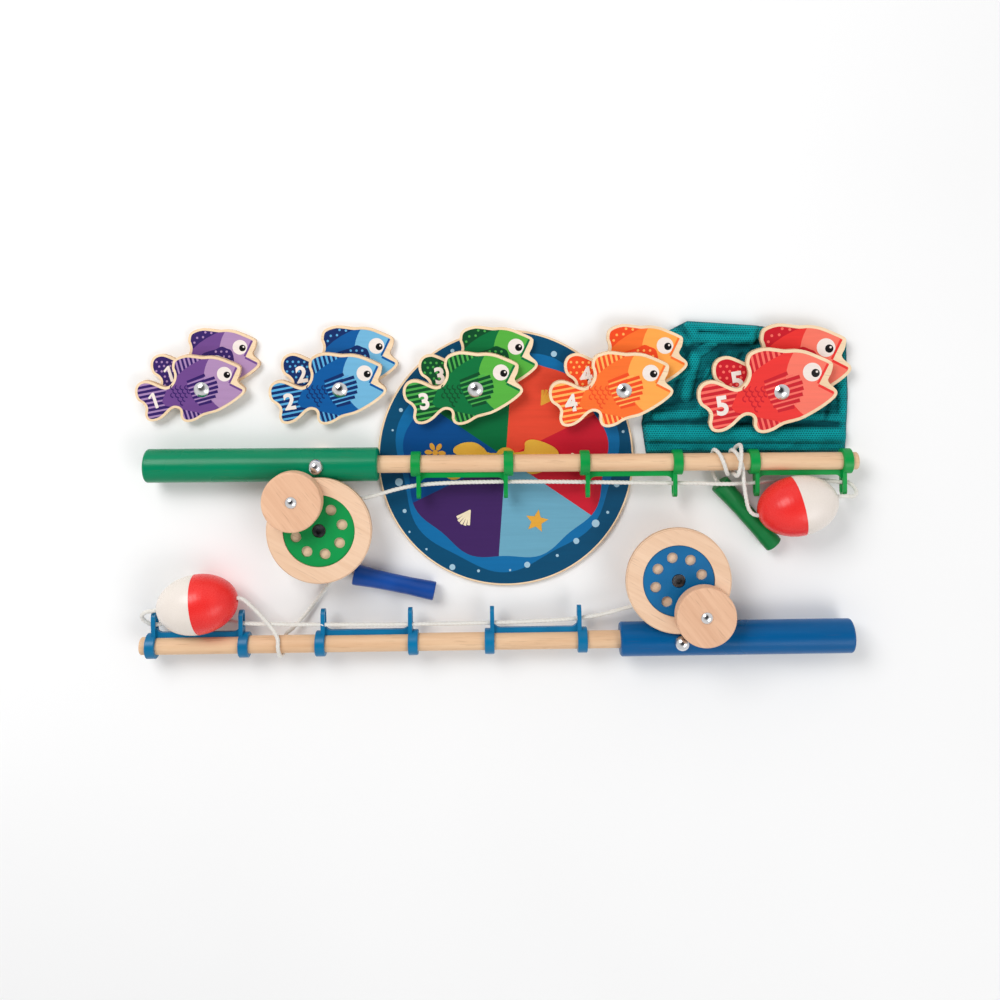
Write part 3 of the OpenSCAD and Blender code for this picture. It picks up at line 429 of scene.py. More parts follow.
# ---------------------------------------------------------------- turns of line on the drums
for colour in ("green", "blue"):
    low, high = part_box(colour + "_line_winding")
    cx, cy = (low[0] + high[0]) / 2, (low[1] + high[1]) / 2
    turns = int((high[2] - low[2] - WINDING_SLACK) / (LINE_D * MM))
    pitch = (high[2] - low[2] - LINE_D * MM) / (turns - 1)
    coil = []
    r = (high[0] - low[0]) / 2 - LINE_D / 2 * MM
    for i in range(COIL_STEPS * (turns - 1) + 1):
        a = 2 * math.pi * i / COIL_STEPS
        coil.append(Vector((cx + r * math.cos(a), cy + r * math.sin(a),
                            low[2] + LINE_D / 2 * MM + pitch * i / COIL_STEPS)))
    piece = strand_tube(colour + "_wound_line", coil, LINE_D / 2 * MM, TWIST_PITCH)
    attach(piece, colour + "_reel")
    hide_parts(colour + "_line_winding")

# ---------------------------------------------------------------- materials of the carried-over pieces
ON_BOTH_RODS = {
    "dowel": m_dowel, "reel_arm": m_arm, "back_flange": m_flange, "drum": m_knob, "front_flange": m_flange,
    "knob": m_knob, "arm_bolt": m_steel, "cap_nut": m_steel, "knob_pin": m_steel, "axle_screw": m_screw,
    "magnet": m_magnet, "float_red_half": m_red, "float_white_half": m_white,
}
BY_COLOUR = {
    "green": {"handle": m_green_lacquer, "guide": m_green_plastic, "reel_disc": m_green_paint,
              "magnet_holder": m_green_holder},
    "blue": {"handle": m_blue_lacquer, "guide": m_blue_plastic, "reel_disc": m_blue_paint,
             "magnet_holder": m_blue_holder},
}


def look_of(name):
    """The material of a node, or None where a modelled piece stands for it."""
    colour, _, rest = name.partition("_")
    if colour in BY_COLOUR:
        if rest.startswith("guide"):
            return BY_COLOUR[colour]["guide"]
        return BY_COLOUR[colour].get(rest) or ON_BOTH_RODS.get(rest)
    if name in ("fish_studs", "spinner_pivot"):
        return m_steel
    if name == "spinner_pointer":
        return m_pointer
    return m_fish_wood


for name, obj in nodes.items():
    look = look_of(name)
    if look:
        for slot in obj.material_slots:
            slot.material = look

# ---------------------------------------------------------------- flat prints, modelled shape by shape
FIRST_LAYER, LAYER = 0.05, 0.02


def disc(x, y, r, n, squash=1.0, turn=0.0):
    """An ellipse of n corners, squashed across the way it is turned."""
    out = []
    for i in range(n):
        a = 2 * math.pi * i / n
        u, v = r * math.cos(a), r * squash * math.sin(a)
        out.append((x + u * math.cos(turn) - v * math.sin(turn),
                    y + u * math.sin(turn) + v * math.cos(turn)))
    return out


def signed_area(poly):
    """Twice the area of a polygon, above zero where it runs counter-clockwise."""
    return sum(p[0] * q[1] - q[0] * p[1] for p, q in zip(poly, poly[1:] + poly[:1]))


def ccw(poly):
    return list(poly) if signed_area(poly) > 0 else list(poly)[::-1]


def stroke(points, width, end_width):
    """A tapering band along a line of points."""
    left, right = [], []
    for i, p in enumerate(points):
        a, b = points[max(i - 1, 0)], points[min(i + 1, len(points) - 1)]
        dx, dy = b[0] - a[0], b[1] - a[1]
        d = math.hypot(dx, dy) or 1
        w = (width + (end_width - width) * i / (len(points) - 1)) / 2
        left.append((p[0] - dy / d * w, p[1] + dx / d * w))
        right.append((p[0] + dy / d * w, p[1] - dx / d * w))
    return right + left[::-1]


class Print:
    """Flat shapes in millimetres, modelled in edit mode in one mesh, each layer a little above the last."""

    def __init__(self, name, looks):
        bpy.ops.object.select_all(action="DESELECT")
        bpy.ops.object.add(type="MESH")
        self.obj = bpy.context.object
        self.obj.name = self.obj.data.name = name
        self.names, self.lift = list(looks), FIRST_LAYER
        for look in looks.values():
            self.obj.data.materials.append(look)
        bpy.ops.object.mode_set(mode="EDIT")

    def layer(self):
        self.lift += LAYER

    def add(self, points, look, *zones):
        """A shape through the points, cut down to each convex zone."""
        bpy.ops.mesh.primitive_circle_add(vertices=len(points), radius=1, fill_type="NGON")
        mesh = self.obj.data
        shape = next(f for f in bmesh.from_edit_mesh(mesh).faces if not f.hide)
        for corner, p in zip(shape.verts, points):
            corner.co = (p[0], p[1], self.lift)
        if zones:
            bpy.ops.mesh.quads_convert_to_tris()
        for a, b in [side for zone in zones for side in zip(zone, zone[1:] + zone[:1])]:
            bpy.ops.mesh.select_all(action="SELECT")
            if any(not f.hide for f in bmesh.from_edit_mesh(mesh).faces):
                out = Vector((b[1] - a[1], a[0] - b[0], 0)).normalized()
                bpy.ops.mesh.bisect(plane_co=(a[0], a[1], 0), plane_no=out, clear_outer=True)
        self.keep(look)

    def dot(self, x, y, r, look, n=20):
        bpy.ops.mesh.primitive_circle_add(vertices=n, radius=r, fill_type="NGON",
                                          location=(x, y, self.lift))
        self.keep(look)

    def keep(self, look):
        """Colours the open shape and hides it, so that the next cuts pass it by."""
        bpy.ops.mesh.select_all(action="SELECT")
        self.obj.active_material_index = self.names.index(look)
        bpy.ops.object.material_slot_assign()
        bpy.ops.mesh.hide(unselected=False)

    def done(self):
        """The finished print, in triangles that all face up."""
        bpy.ops.mesh.reveal(select=False)
        bpy.ops.mesh.select_all(action="SELECT")
        bpy.ops.mesh.quads_convert_to_tris()
        bpy.ops.mesh.select_all(action="DESELECT")
        bpy.ops.mesh.select_mode(type="FACE")
        for f in bmesh.from_edit_mesh(self.obj.data).faces:
            f.normal_update()
            f.select_set(f.normal.z < 0)
        bpy.ops.mesh.flip_normals()
        bpy.ops.object.mode_set(mode="OBJECT")
        return self.obj


def numeral(text, x, y, height, turn, lift, look):
    """A bold numeral as a flat mesh, centred on x, y."""
    bpy.ops.object.select_all(action="DESELECT")
    bpy.ops.object.text_add()
    curve = bpy.context.object.data
    curve.body, curve.offset, curve.resolution_u = text, 0.035, 4
    bpy.ops.object.convert(target="MESH")
    piece = bpy.context.object
    xs, ys = [v.co.x for v in piece.data.vertices], [v.co.y for v in piece.data.vertices]
    k = height / (max(ys) - min(ys))
    piece.data.transform(Matrix.Translation((x, y, lift)) @ Matrix.Rotation(turn, 4, "Z")
                         @ Matrix.Diagonal((k, k, 1, 1))
                         @ Matrix.Translation((-(max(xs) + min(xs)) / 2, -(max(ys) + min(ys)) / 2, 0)))
    piece.data.materials.append(look)
    return piece


def join(pieces):
    """The pieces as one mesh, which keeps the first one's name."""
    bpy.ops.object.select_all(action="DESELECT")
    for piece in pieces:
        piece.select_set(True)
    bpy.context.view_layer.objects.active = pieces[0]
    bpy.ops.object.join()
    return pieces[0]


# the fish at unit size, in millimetres from its stud, as in the CAD
OUTLINE = [
    (-26, 20), (-25, 26), (-21, 29.5), (-13, 31.8), (-5, 31.2), (2, 30.3), (9, 30.7), (17, 29.5),
    (26, 26), (34.5, 22), (35.8, 18.5), (34.5, 13), (32.5, 9), (34, 6), (37.5, 3), (39.5, 0), (38, -4),
    (31, -10), (22, -15.8), (13, -20.4), (2, -23.4), (-4, -27), (-9, -29.1), (-14, -29.7), (-17.8, -28),
    (-19.6, -24), (-19.5, -20.2), (-21, -17.6), (-25, -16.8), (-29, -19), (-34, -24), (-39, -27.5),
    (-44.5, -29.1), (-49.5, -28), (-51.8, -23), (-51, -16.8), (-53.5, -12.8), (-57.8, -9.8), (-60, -5),
    (-60, 1), (-57.5, 5.5), (-53, 7.9), (-48, 8.1), (-42, 6), (-36.5, 3.5), (-32, 2.5), (-28, 4.4),
    (-25, 9), (-24.2, 13.5), (-25, 17)]


def closed_smooth(p, n):
    """A smooth closed curve through the points, with n steps from each to the next."""
    out = []
    m = len(p)
    for i in range(m):
        a, b, c, d = p[i - 1], p[i], p[(i + 1) % m], p[(i + 2) % m]
        for k in range(n):
            t = k / n
            out.append(tuple((2 * b[j] + (c[j] - a[j]) * t + (2 * a[j] - 5 * b[j] + 4 * c[j] - d[j]) * t * t
                              + (3 * b[j] - a[j] - 3 * c[j] + d[j]) * t ** 3) / 2 for j in (0, 1)))
    return out


def inset(poly, gap):
    """A polygon drawn in by gap, without the loops that tight corners would leave."""
    out = []
    m = len(poly)
    sign = 1 if signed_area(poly) > 0 else -1
    for i, p in enumerate(poly):
        a, b = poly[i - 1], poly[(i + 1) % m]
        dx, dy = b[0] - a[0], b[1] - a[1]
        d = math.hypot(dx, dy)
        q = (p[0] - sign * dy / d * gap, p[1] + sign * dx / d * gap)
        near = min(math.hypot(q[0] - r[0], q[1] - r[1]) for r in poly)
        if near > gap * 0.93:
            out.append(q)
    return out


def crossing(a, b, c, d):
    """Where the lines from a to b and from c to d cross, or None."""
    dx, dy, ex, ey = b[0] - a[0], b[1] - a[1], d[0] - c[0], d[1] - c[1]
    k = dx * ey - dy * ex
    if abs(k) < 1e-9:
        return None
    t = ((c[0] - a[0]) * ey - (c[1] - a[1]) * ex) / k
    u = ((c[0] - a[0]) * dy - (c[1] - a[1]) * dx) / k
    return (a[0] + dx * t, a[1] + dy * t) if 0 < t < 1 and 0 < u < 1 else None


def untangled(poly):
    """The polygon without the small loops where it crosses itself."""
    for i in range(len(poly)):
        for reach in range(2, 30):
            meet = crossing(*[poly[(i + k) % len(poly)] for k in (0, 1, reach, reach + 1)])
            if meet:
                kept = [poly[(i + reach + 1 + k) % len(poly)] for k in range(len(poly) - reach)]
                return untangled(kept + [meet])
    return poly


def inside(p, poly):
    hit = False
    for a, b in zip(poly, poly[1:] + poly[:1]):
        level = (a[1] > p[1]) != (b[1] > p[1])
        if level and p[0] < (b[0] - a[0]) * (p[1] - a[1]) / (b[1] - a[1]) + a[0]:
            hit = not hit
    return hit


BARE_RIM, DOT_RIM = 2.3, 3.6
MOUTH = [(33.0, 19.9), (26.2, 5.9), (36.9, 0.4)]
print_edge = inset(closed_smooth(OUTLINE, 3), BARE_RIM)
lip = [i for i, p in enumerate(print_edge) if p[0] > 24 and 0 < p[1] < 20]
print_edge = ccw(untangled(print_edge[:lip[0]] + MOUTH + print_edge[lip[-1] + 1:]))
dot_edge = inset(closed_smooth(OUTLINE, 4), DOT_RIM)

white_ink = ink("white_ink", srgb(238, 226, 218))
black_ink = ink("black_ink", srgb(14, 12, 14), 0.3)
INK_NAMES = ("dark", "mid", "light", "pale")
FISH_INKS = [
    ((48, 24, 96), (108, 68, 136), (172, 136, 178), (164, 130, 178)),
    ((4, 40, 98), (0, 86, 154), (110, 176, 212), (86, 166, 214)),
    ((0, 72, 36), (0, 110, 56), (84, 172, 62), (70, 164, 72)),
    ((238, 74, 30), (246, 112, 44), (250, 166, 76), (255, 176, 90)),
    ((200, 22, 38), (232, 50, 46), (244, 118, 98), (244, 108, 94)),
]
FISH_LOOKS = [[ink(f"fish_{i + 1}_{n}_ink", srgb(*c)) for n, c in zip(INK_NAMES, row)]
              for i, row in enumerate(FISH_INKS)]
# studs of the front fish, and how far the fish behind is from each
FISH_AT = [(-238.8, 90.6), (-128.2, 90.4), (-19.6, 91), (98.6, 90.2), (224, 89.2)]
REAR_SHIFT = [(10.7, 20.6), (8.7, 21), (12, 19.7), (12.4, 21), (13.2, 18.6)]
FISH_T, STUD_H, BOARD_T, BAG_T = 5.0, 2.6, 3.4, 5.0
# how far a fish reaches below its stud, and the gap at which one lies on another
FISH_LOW, SEAT = 29.8, 0.1
FISH_BASE = [0, 0, BOARD_T, BAG_T + 0.3, BAG_T + 0.3]
FISH_SIZES = [0.96 * share for share in (0.92, 0.984, 1, 1.032, 1.16)]
LIPS = [[(33.0, 19.9), (31.4, 20.8), (24.6, 6.4), (26.2, 5.9)],
        [(26.2, 5.9), (25.4, 4.2), (36.6, -1.5), (36.9, 0.4)]]
BODY = [(-34, -6), (-31, 1), (-26, 7.5), (-22, 12.5), (-16, 18), (-9, 22.8), (-1, 27), (8, 31), (30, 36),
        (50, 20), (50, -20), (20, -26), (-21, -17.3), (-33, -14.6), (-36, -11)]
# middle and radius
HEAD, EYE, PUPIL, GLINT = (36.5, 10.5, 34), (21.2, 14.4, 6.7), (23.5, 13.7, 3.0), (24.5, 14.7, 0.8)
DOT_R = 1.05
SIDE_FIN = [((-12.9, 7.2), (3.6, 13.6)), ((-13.2, 3.1), (12.4, 11.2)), ((-11.2, -0.5), (14.4, 7.2)),
            ((-9.8, -4), (15.2, 3)), ((-8.2, -7.4), (14.8, -1.4)), ((-6, -10.7), (12.8, -5.8)),
            ((-2.8, -13.8), (9, -10.4))]
ROUND_FIN = [(-13.6, 7.6), (-6, 11), (-1, 12.4), (4.4, 15), (9, 13.4), (13.4, 11.4), (15.4, 6), (15.8, 0),
             (14.6, -6), (10, -12), (2, -14.6), (-4, -13.6), (-8.6, -8), (-11.6, -1)]
NUMERAL_AT, NUMERAL_H, NUMERAL_TURN = (-42.6, -9.8), 14.4, math.radians(9)
# the 1 is drawn with a short flag and no foot, which the built-in font's isn't
ONE = [(-3.6, 2.6), (-1.1, 4.6), (-1.4, -6.6), (-1, -7.3), (1, -7.3), (1.5, -6.6), (1.7, 6.6), (1.2, 7.3),
       (-0.2, 7.3), (-4.6, 4.4), (-4.7, 3.2)]


def striped_fins(p):
    """Pale bands across the tail, the upper fin and the lower fin."""
    bands = ([([(-62, -32.5 + 4.4 * k), (-24, -25.1 + 4.4 * k)], 2.1, 1.3) for k in range(9)]
             + [([(-20.6 + 4 * k, 3), (-28.6 + 4 * k, 35)], 1.2, 2.1) for k in range(9)]
             + [([(-19.6 + 4 * k, -14), (-13.2 + 4 * k, -36)], 1.3, 2.1) for k in range(6)])
    for line, width, end_width in bands:
        p.add(print_edge, "pale", ccw(stroke(line, width, end_width)))


def dotted_fins(p):
    dots = random.Random(7)
    for row in range(16):
        for col in range(23):
            x = -60 + 5 * col + (row % 2) * 2.5 + dots.uniform(-0.5, 0.5)
            y = -34 + 4.4 * row + dots.uniform(-0.5, 0.5)
            if inside((x, y), dot_edge) and not inside((x, y), BODY):
                p.dot(x, y, DOT_R, "pale", 12)


def striped_side_fin(p):
    """Dark bands with a thin pale one between each two."""
    for k, (a, b) in enumerate(SIDE_FIN):
        p.add(ccw(stroke([a, b], 2, 2.8)), "dark")
        if k < len(SIDE_FIN) - 1:
            c, d = SIDE_FIN[k + 1]
            m0 = ((a[0] + c[0]) / 2 + 0.6, (a[1] + c[1]) / 2)
            m1 = ((b[0] + d[0]) / 2 - 0.4, (b[1] + d[1]) / 2 - 0.1)
            p.add(ccw(stroke([m0, m1], 1.1, 1.2)), "pale")


def side_fin_dots(p):
    for row in range(6):
        for col in range(6):
            x, y = -10.5 + 4.9 * col + 2.4 * (row % 2), 10.4 - 4.5 * row
            if inside((x * 1.1, y * 1.1), ROUND_FIN):
                p.dot(x, y, DOT_R, "pale", 12)


def scales(p):
    for row in range(5):
        for col in range(4):
            x, y = -26 + 4.3 * col + 2.1 * (row % 2), 2.2 - 3.6 * row
            if x + 1.1 * y > -33 and x - 0.5 * y < -9:
                arc = [(x + 1.9 * math.cos(t), y + 1.9 * math.sin(t))
                       for t in map(math.radians, range(110, 285, 19))]
                p.add(ccw(stroke(arc, 0.7, 1.3)), "dark")


def fish_sheet(striped):
    """The print of one fish at unit size, its stud at the middle, and the height of its top layer."""
    looks = dict(zip(INK_NAMES, FISH_LOOKS[0]), white=white_ink, black=black_ink)
    p = Print("striped_sheet" if striped else "dotted_sheet", looks)
    p.add(print_edge, "dark")
    p.layer()
    if striped:
        striped_fins(p)
    else:
        dotted_fins(p)
    p.layer()
    p.add(print_edge, "mid", ccw(BODY))
    p.layer()
    p.add(print_edge, "light", disc(*HEAD, 48))
    p.layer()
    if striped:
        striped_side_fin(p)
    else:
        p.add(ccw(closed_smooth(ROUND_FIN, 3)), "dark")
    scales(p)
    for lip_shape in LIPS:
        p.add(ccw(lip_shape), "mid")
    p.dot(*EYE, "white", 44)
    p.layer()
    if not striped:
        side_fin_dots(p)
    p.dot(*PUPIL, "black", 30)
    p.layer()
    p.dot(*GLINT, "white", 16)
    return p.done(), p.lift


def fish_place(i, striped):
    """Where the sheet of fish i lies: flat behind, or leaning on the stud of the fish behind."""
    size, shift, base = FISH_SIZES[i], REAR_SHIFT[i], FISH_BASE[i] + FISH_T
    x, y = FISH_AT[i][0] - MIDDLE[0], FISH_AT[i][1] - MIDDLE[1]
    where = Matrix.Translation((x + shift[0], y + shift[1], base))
    if striped:
        edge = shift[1] - FISH_LOW * size
        lean = math.atan((STUD_H + SEAT) / (FISH_LOW * size))
        where = (Matrix.Translation((x, y + edge, base + SEAT)) @ Matrix.Rotation(lean, 4, "X")
                 @ Matrix.Translation((0, -edge, FISH_T)))
    return Matrix.Scale(MM, 4) @ where @ Matrix.Diagonal((size, size, 1, 1))


def drawn_one(lift):
    one = Print("numeral", {"white": white_ink})
    one.lift = lift
    c, s = math.cos(2 * NUMERAL_TURN), math.sin(2 * NUMERAL_TURN)
    one.add(ccw([(NUMERAL_AT[0] + x * c - y * s, NUMERAL_AT[1] + x * s + y * c) for x, y in ONE]), "white")
    return one.done()


sheets = {"striped": fish_sheet(True), "dotted": fish_sheet(False)}
for i in range(5):
    for kind, (sheet, top) in sheets.items():
        piece = sheet.copy()
        piece.data = sheet.data.copy()
        piece.name = f"fish_{i + 1}_{kind}_print"
        bpy.context.scene.collection.objects.link(piece)
        for k, look in enumerate(FISH_LOOKS[i]):
            piece.data.materials[k] = look
        if i:
            digit = numeral(str(i + 1), *NUMERAL_AT, NUMERAL_H, NUMERAL_TURN, top, white_ink)
        else:
            digit = drawn_one(top)
        piece = join([piece, digit])
        piece.data.transform(fish_place(i, kind == "striped"))
        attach(piece, "set")
for sheet, top in sheets.values():
    bpy.data.objects.remove(sheet)

# ---------------------------------------------------------------- print of the spinner board
BOARD_AT = (4.6, 34.9)
FIELDS = ("green", "orange", "crimson", "sky", "purple", "blue")
FIELD_START, FIELD_ARC = 86, 60
RIM_R, WAVE_R, FIELD_R, MOTIF_R = 101.6, 88.5, 81.5, 57
BUBBLES, BUBBLE_R = 28, (0.9, 1.2, 1.6, 2.4, 3.1)
BOARD_INKS = {
    "rim": srgb(0, 72, 108), "wave": srgb(10, 104, 160), "green": srgb(0, 104, 56),
    "orange": srgb(222, 72, 48), "crimson": srgb(196, 26, 46), "sky": srgb(104, 162, 186),
    "purple": srgb(62, 34, 92), "blue": srgb(0, 72, 136), "bubble": srgb(160, 194, 212),
    "gold": srgb(222, 162, 58), "cream": srgb(236, 220, 188),
}
board = Print("spinner_board_print",
              {n: ink("board_" + n + "_ink", c, 0.36) for n, c in BOARD_INKS.items()})


def polar(r, degrees, x=0, y=0):
    return (x + r * math.cos(math.radians(degrees)), y + r * math.sin(math.radians(degrees)))


def sine(degrees):
    return math.sin(math.radians(degrees))


def star(x, y, turn, look):
    board.add([polar((9.5, 4.4)[j % 2], turn + 36 * j, x, y) for j in range(10)], look)


def fan(x, y, turn, look):
    for j in range(-2, 3):
        board.add(ccw(stroke([polar(-6, turn, x, y), polar(7.5, turn + 24 * j, x, y)], 0.8, 2.4)), look)
        board.layer()


def flower(x, y, turn, look):
    for j in range(6):
        board.add(disc(*polar(5.4, turn + 60 * j, x, y), 3.1, 16, 0.62, math.radians(turn + 60 * j)), look)
        board.layer()
    board.dot(x, y, 2.3, look)


board.add([polar(RIM_R, 2.5 * k) for k in range(144)], "rim")
board.layer()
board.add([polar(WAVE_R + 2.6 * sine(7 * d) + 2.2 * sine(3 * d + 50), d) for d in range(0, 360, 3)], "wave")
board.layer()
for k, look in enumerate(FIELDS):
    start = FIELD_START - FIELD_ARC * k
    arc = [polar(FIELD_R + 2.2 * sine(9 * d), d) for d in range(start, start + FIELD_ARC + 1, 3)]
    board.add([(0, 0)] + arc, look)
board.layer()
bubbles = random.Random(11)
for k in range(BUBBLES):
    a = 360 * k / BUBBLES + bubbles.uniform(-4, 4)
    r = bubbles.uniform(88, 98.5)
    board.dot(*polar(r, a), bubbles.choice(BUBBLE_R), "bubble")
for k in range(len(FIELDS)):
    a = FIELD_START + FIELD_ARC / 2 - FIELD_ARC * k
    (star, fan, flower)[k % 3](*polar(MOTIF_R, a), a, ("cream", "gold")[k % 2])
board_print = board.done()
board_print.data.transform(Matrix.Scale(MM, 4) @ Matrix.Translation(
    (BOARD_AT[0] - MIDDLE[0], BOARD_AT[1] - MIDDLE[1], BOARD_T)))
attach(board_print, "set")

# ---------------------------------------------------------------- the folded mesh bag
HOLES_ACROSS, HOLE_ROWS = 500, 575  # to the metre


def mesh_cloth(s, obj, uv):
    """Perforated polyester mesh: rows of small holes, offset row by row, with painted shade darkening its
    low places and its holes.
    """
    sep = s.add("SeparateXYZ", {"Vector": uv})
    u = s.math("MULTIPLY", sep.outputs[0], HOLES_ACROSS)
    v = s.math("MULTIPLY", sep.outputs[1], HOLE_ROWS)
    row = s.math("MODULO", s.math("FLOOR", v), 2.0)
    fu = s.math("SUBTRACT", s.math("FRACT", s.math("ADD", u, s.math("MULTIPLY", row, 0.5))), 0.5)
    fv = s.math("SUBTRACT", s.math("FRACT", v), 0.5)
    d = s.math("SQRT", s.math("ADD", s.math("MULTIPLY", fu, fu), s.math("MULTIPLY", fv, fv)))
    hole = s.span(d, 0.24, 0.36, 1.0, 0.0)
    slow = s.noise(obj, 60, 3)
    thread = s.noise(obj, 1800, 2, 0.6, (1, 0.4, 1))
    base = s.mix(s.span(slow, 0.3, 0.7), srgb(0, 156, 160), srgb(0, 134, 140))
    base = s.mix(s.span(thread, 0.35, 0.7, 0.0, 0.5), base, srgb(10, 172, 176))
    # painted shade: the cloth is coloured darker the lower it lies, from 5.2 mm down to 0.8 mm above the
    # floor
    depth = s.span(s.add("SeparateXYZ", {"Vector": obj}).outputs[2], 0.0008, 0.0052)
    base = s.mix(depth, srgb(0, 88, 96), base)
    # painted shade: each hole is coloured dark teal for the shaded cloth seen through it
    color = s.mix(s.math("MULTIPLY", hole, 0.8), base, srgb(0, 62, 70))
    return {"Base Color": color, "Roughness": 0.85, "Specular IOR Level": 0.12, "Sheen Weight": 0.03,
            "bump": (s.math("SUBTRACT", s.math("MULTIPLY", thread, 0.2), hole), 0.00025)}


m_mesh = material("perforated_mesh", mesh_cloth)
# the bundle's four edges: a share of the way along, and the x or y there
BAG_LEFT = ((0, 118), (0.25, 114.5), (0.85, 126), (1, 134))
BAG_RIGHT = ((0, 279), (0.5, 281.5), (1, 280))
BAG_FRONT = ((0, 37.5), (0.5, 38.6), (1, 39))
BAG_BACK = ((0, 136), (0.12, 145), (0.5, 141.5), (1, 129))
# rolled folds that stand up: from, to, half width and top
BAG_CRESTS = (
    ((121, 55), (200, 53.6), 5.5, 7.8), ((200, 53.6), (280, 52), 5, 7), ((119, 43), (278, 43.4), 3, 4.4),
    ((126, 68), (176, 72), 3, 5), ((176, 72), (279, 67), 2.6, 4.6), ((150, 84), (158, 118), 3.4, 5),
    ((158, 118), (172, 127), 3, 4.7), ((163, 76), (169, 104), 2.6, 4.4), ((124, 96), (150, 104), 3, 4.8),
    ((153, 143.4), (203, 139.6), 4, 8), ((153, 143.4), (157, 132), 3.4, 7.6),
    ((157, 132), (202, 130.6), 3.2, 7.8), ((203, 139.6), (202, 130.6), 3, 7.2),
    ((136, 139), (152, 128), 3, 4.8), ((206, 136), (280, 126), 4, 5),
    ((274, 124), (278, 60), 3, 5))


def lookup(t, table):
    for (a, va), (b, vb) in zip(table, table[1:]):
        if t <= b:
            return va + (vb - va) * (t - a) / (b - a)
    return table[-1][1]


def bag_place(u, v):
    """Where the point u across and v up the bundle lies in the layout."""
    return (lookup(v, BAG_LEFT) * (1 - u) + lookup(v, BAG_RIGHT) * u,
            lookup(u, BAG_FRONT) * (1 - v) + lookup(u, BAG_BACK) * v)


def off_line(x, y, a, b):
    """How far a point is from the stretch of line between a and b."""
    dx, dy = b[0] - a[0], b[1] - a[1]
    t = max(0, min(1, ((x - a[0]) * dx + (y - a[1]) * dy) / (dx * dx + dy * dy)))
    return math.hypot(x - a[0] - dx * t, y - a[1] - dy * t)


def fold(x, y, a, b, width, top):
    """The height of a rolled fold of cloth along a line."""
    d = off_line(x, y, a, b) / (1.45 * width)
    return (top - CLOTH_LOW) * (math.sqrt(1 - d * d) if d < 1 else 0)


# creases pressed into the cloth: from, to, half width and depth
CREASES = (
    ((118, 62.6), (279, 61.8), 2.4, 2), ((128, 77), (178, 86), 2.2, 1.8), ((178, 86), (196, 118), 2, 1.6),
    ((150, 122), (200, 125), 2.6, 2.4), ((166, 96), (186, 128), 1.8, 1.6), ((140, 88), (154, 126), 2, 1.8),
    ((186, 64), (204, 122), 2.2, 1.6), ((262, 66), (276, 122), 2.2, 2), ((236, 66), (274, 92), 2, 1.6),
    ((206, 128), (244, 122), 1.8, 1.6), ((124, 76), (136, 118), 2, 1.8), ((120, 47), (278, 46.4), 1.5, 0.6))
UNDER_FISH, CLOTH_LOW = 4.9, 1.7
FISH_ON_BAG = (3, 4)


def beneath(k, shift):
    """The outline of fish k, a little enlarged, under which the cloth is pressed down."""
    size, at = 1.05 * FISH_SIZES[k], (FISH_AT[k][0] + shift[0], FISH_AT[k][1] + shift[1])
    return [(at[0] + size * x, at[1] + size * y) for x, y in OUTLINE[::2]]


BENEATH = [beneath(k, shift) for k in FISH_ON_BAG for shift in ((0, 0), REAR_SHIFT[k])]
BAG_CELLS = (230, 170)


def cloth_height(x, y):
    z = CLOTH_LOW + max(fold(x, y, *c) for c in BAG_CRESTS)
    wrinkle = 1 - 2 * abs(noise.noise(Vector((x / 17, y / 8, 3.1))))
    fine = noise.noise(Vector((x / 5, y / 3.4, 7.7)))
    z += 0.9 * wrinkle + 0.35 * fine
    for a, b, width, depth in CREASES:
        z -= depth * math.exp(-(off_line(x, y, a, b) / width) ** 2)
    if z > UNDER_FISH and any(inside((x, y), poly) for poly in BENEATH):
        return UNDER_FISH
    return z


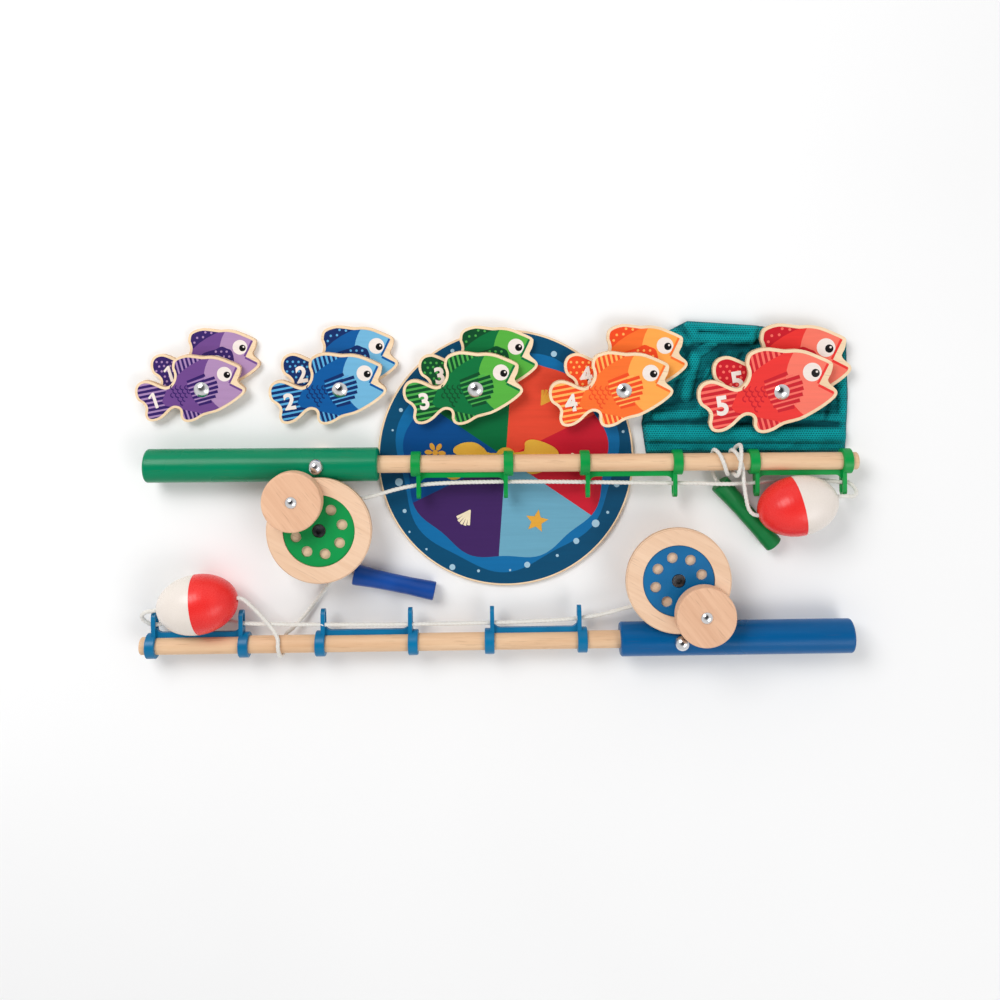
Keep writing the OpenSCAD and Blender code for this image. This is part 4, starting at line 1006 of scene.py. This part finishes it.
def bag_piece():
    """The bundle as one closed mesh: the folded top, a flat underside and a rim between them."""
    def at(i, j):
        return j * (nu + 1) + i

    nu, nv = BAG_CELLS
    verts, uvs, faces = [], [], []
    for j in range(nv + 1):
        for i in range(nu + 1):
            x, y = bag_place(i / nu, j / nv)
            gap = min(min(i, nu - i) * 0.7, min(j, nv - j) * 0.6)
            z = cloth_height(x, y) * math.sqrt(min(1, 0.03 + gap / 3))
            verts.append(place(x, y, max(z, 0.3)))
            uvs.append((x * MM, y * MM))
    top = len(verts)
    verts += [Vector((v[0], v[1], 0.0001)) for v in verts]
    uvs += uvs
    for j in range(nv):
        for i in range(nu):
            f = (at(i, j), at(i + 1, j), at(i + 1, j + 1), at(i, j + 1))
            faces.append(f)
            faces.append(tuple(top + k for k in reversed(f)))
    rim = ([at(i, 0) for i in range(nu)] + [at(nu, j) for j in range(nv)]
           + [at(i, nv) for i in range(nu, 0, -1)] + [at(0, j) for j in range(nv, 0, -1)])
    for a, b in zip(rim, rim[1:] + rim[:1]):
        faces.append((a, top + a, top + b, b))
    obj = smooth_object("folded_mesh_bag", verts, faces, m_mesh)
    layer = obj.data.uv_layers.new(name="cloth")
    for loop in obj.data.loops:
        layer.data[loop.index].uv = uvs[loop.vertex_index]
    return obj


bag = bag_piece()
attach(bag, "set")
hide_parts("storage_bag")

# ---------------------------------------------------------------- floor and light
def floor_look(s, obj, uv):
    slow = s.noise(obj, 3, 2)
    return {"Base Color": s.mix(s.span(slow, 0.3, 0.7), (0.92, 0.92, 0.92, 1), (0.9, 0.9, 0.9, 1)),
            "Roughness": 0.9}


m_floor = material("pale_floor", floor_look)
bpy.ops.object.select_all(action="DESELECT")
bpy.ops.mesh.primitive_plane_add(size=6, location=(0, 0, -0.0002))
floor = bpy.context.object
floor.name = "floor"
floor.data.materials.append(m_floor)
bpy.ops.object.transform_apply()

# a pale room with a dark patch overhead, so that gloss seen from above isn't veiled in white
world = bpy.data.worlds.new("studio")
bpy.context.scene.world = world
world.use_nodes = True
sky = Shader(world.node_tree)
back = world.node_tree.nodes["Background"]
aim = sky.add("Mapping", {"Vector": sky.add("TexCoord").outputs["Generated"], "Rotation": (0.2, 0.14, 0)})
up = sky.add("SeparateXYZ", {"Vector": aim.outputs[0]}).outputs[2]
sky.put(back.inputs["Color"], sky.mix(sky.span(up, 0.72, 0.92), (1, 1, 1, 1), (0.03, 0.03, 0.035, 1)))
sky.put(back.inputs["Strength"], 0.78)


def area_light(name, at, aim, size, power):
    data = bpy.data.lights.new(name, "AREA")
    data.shape = "RECTANGLE"
    data.size, data.size_y = size
    data.energy = power
    obj = bpy.data.objects.new(name, data)
    obj.location = at
    obj.rotation_euler = (Vector(aim) - Vector(at)).to_track_quat("-Z", "Y").to_euler()
    bpy.context.scene.collection.objects.link(obj)


area_light("key_light", (-0.75, 0.85, 1.25), (0, 0, 0), (0.9, 0.7), 17)
area_light("fill_light", (0.95, -0.7, 1.2), (0, 0, 0), (1.0, 0.8), 7)

bpy.context.scene.view_settings.view_transform = "Standard"
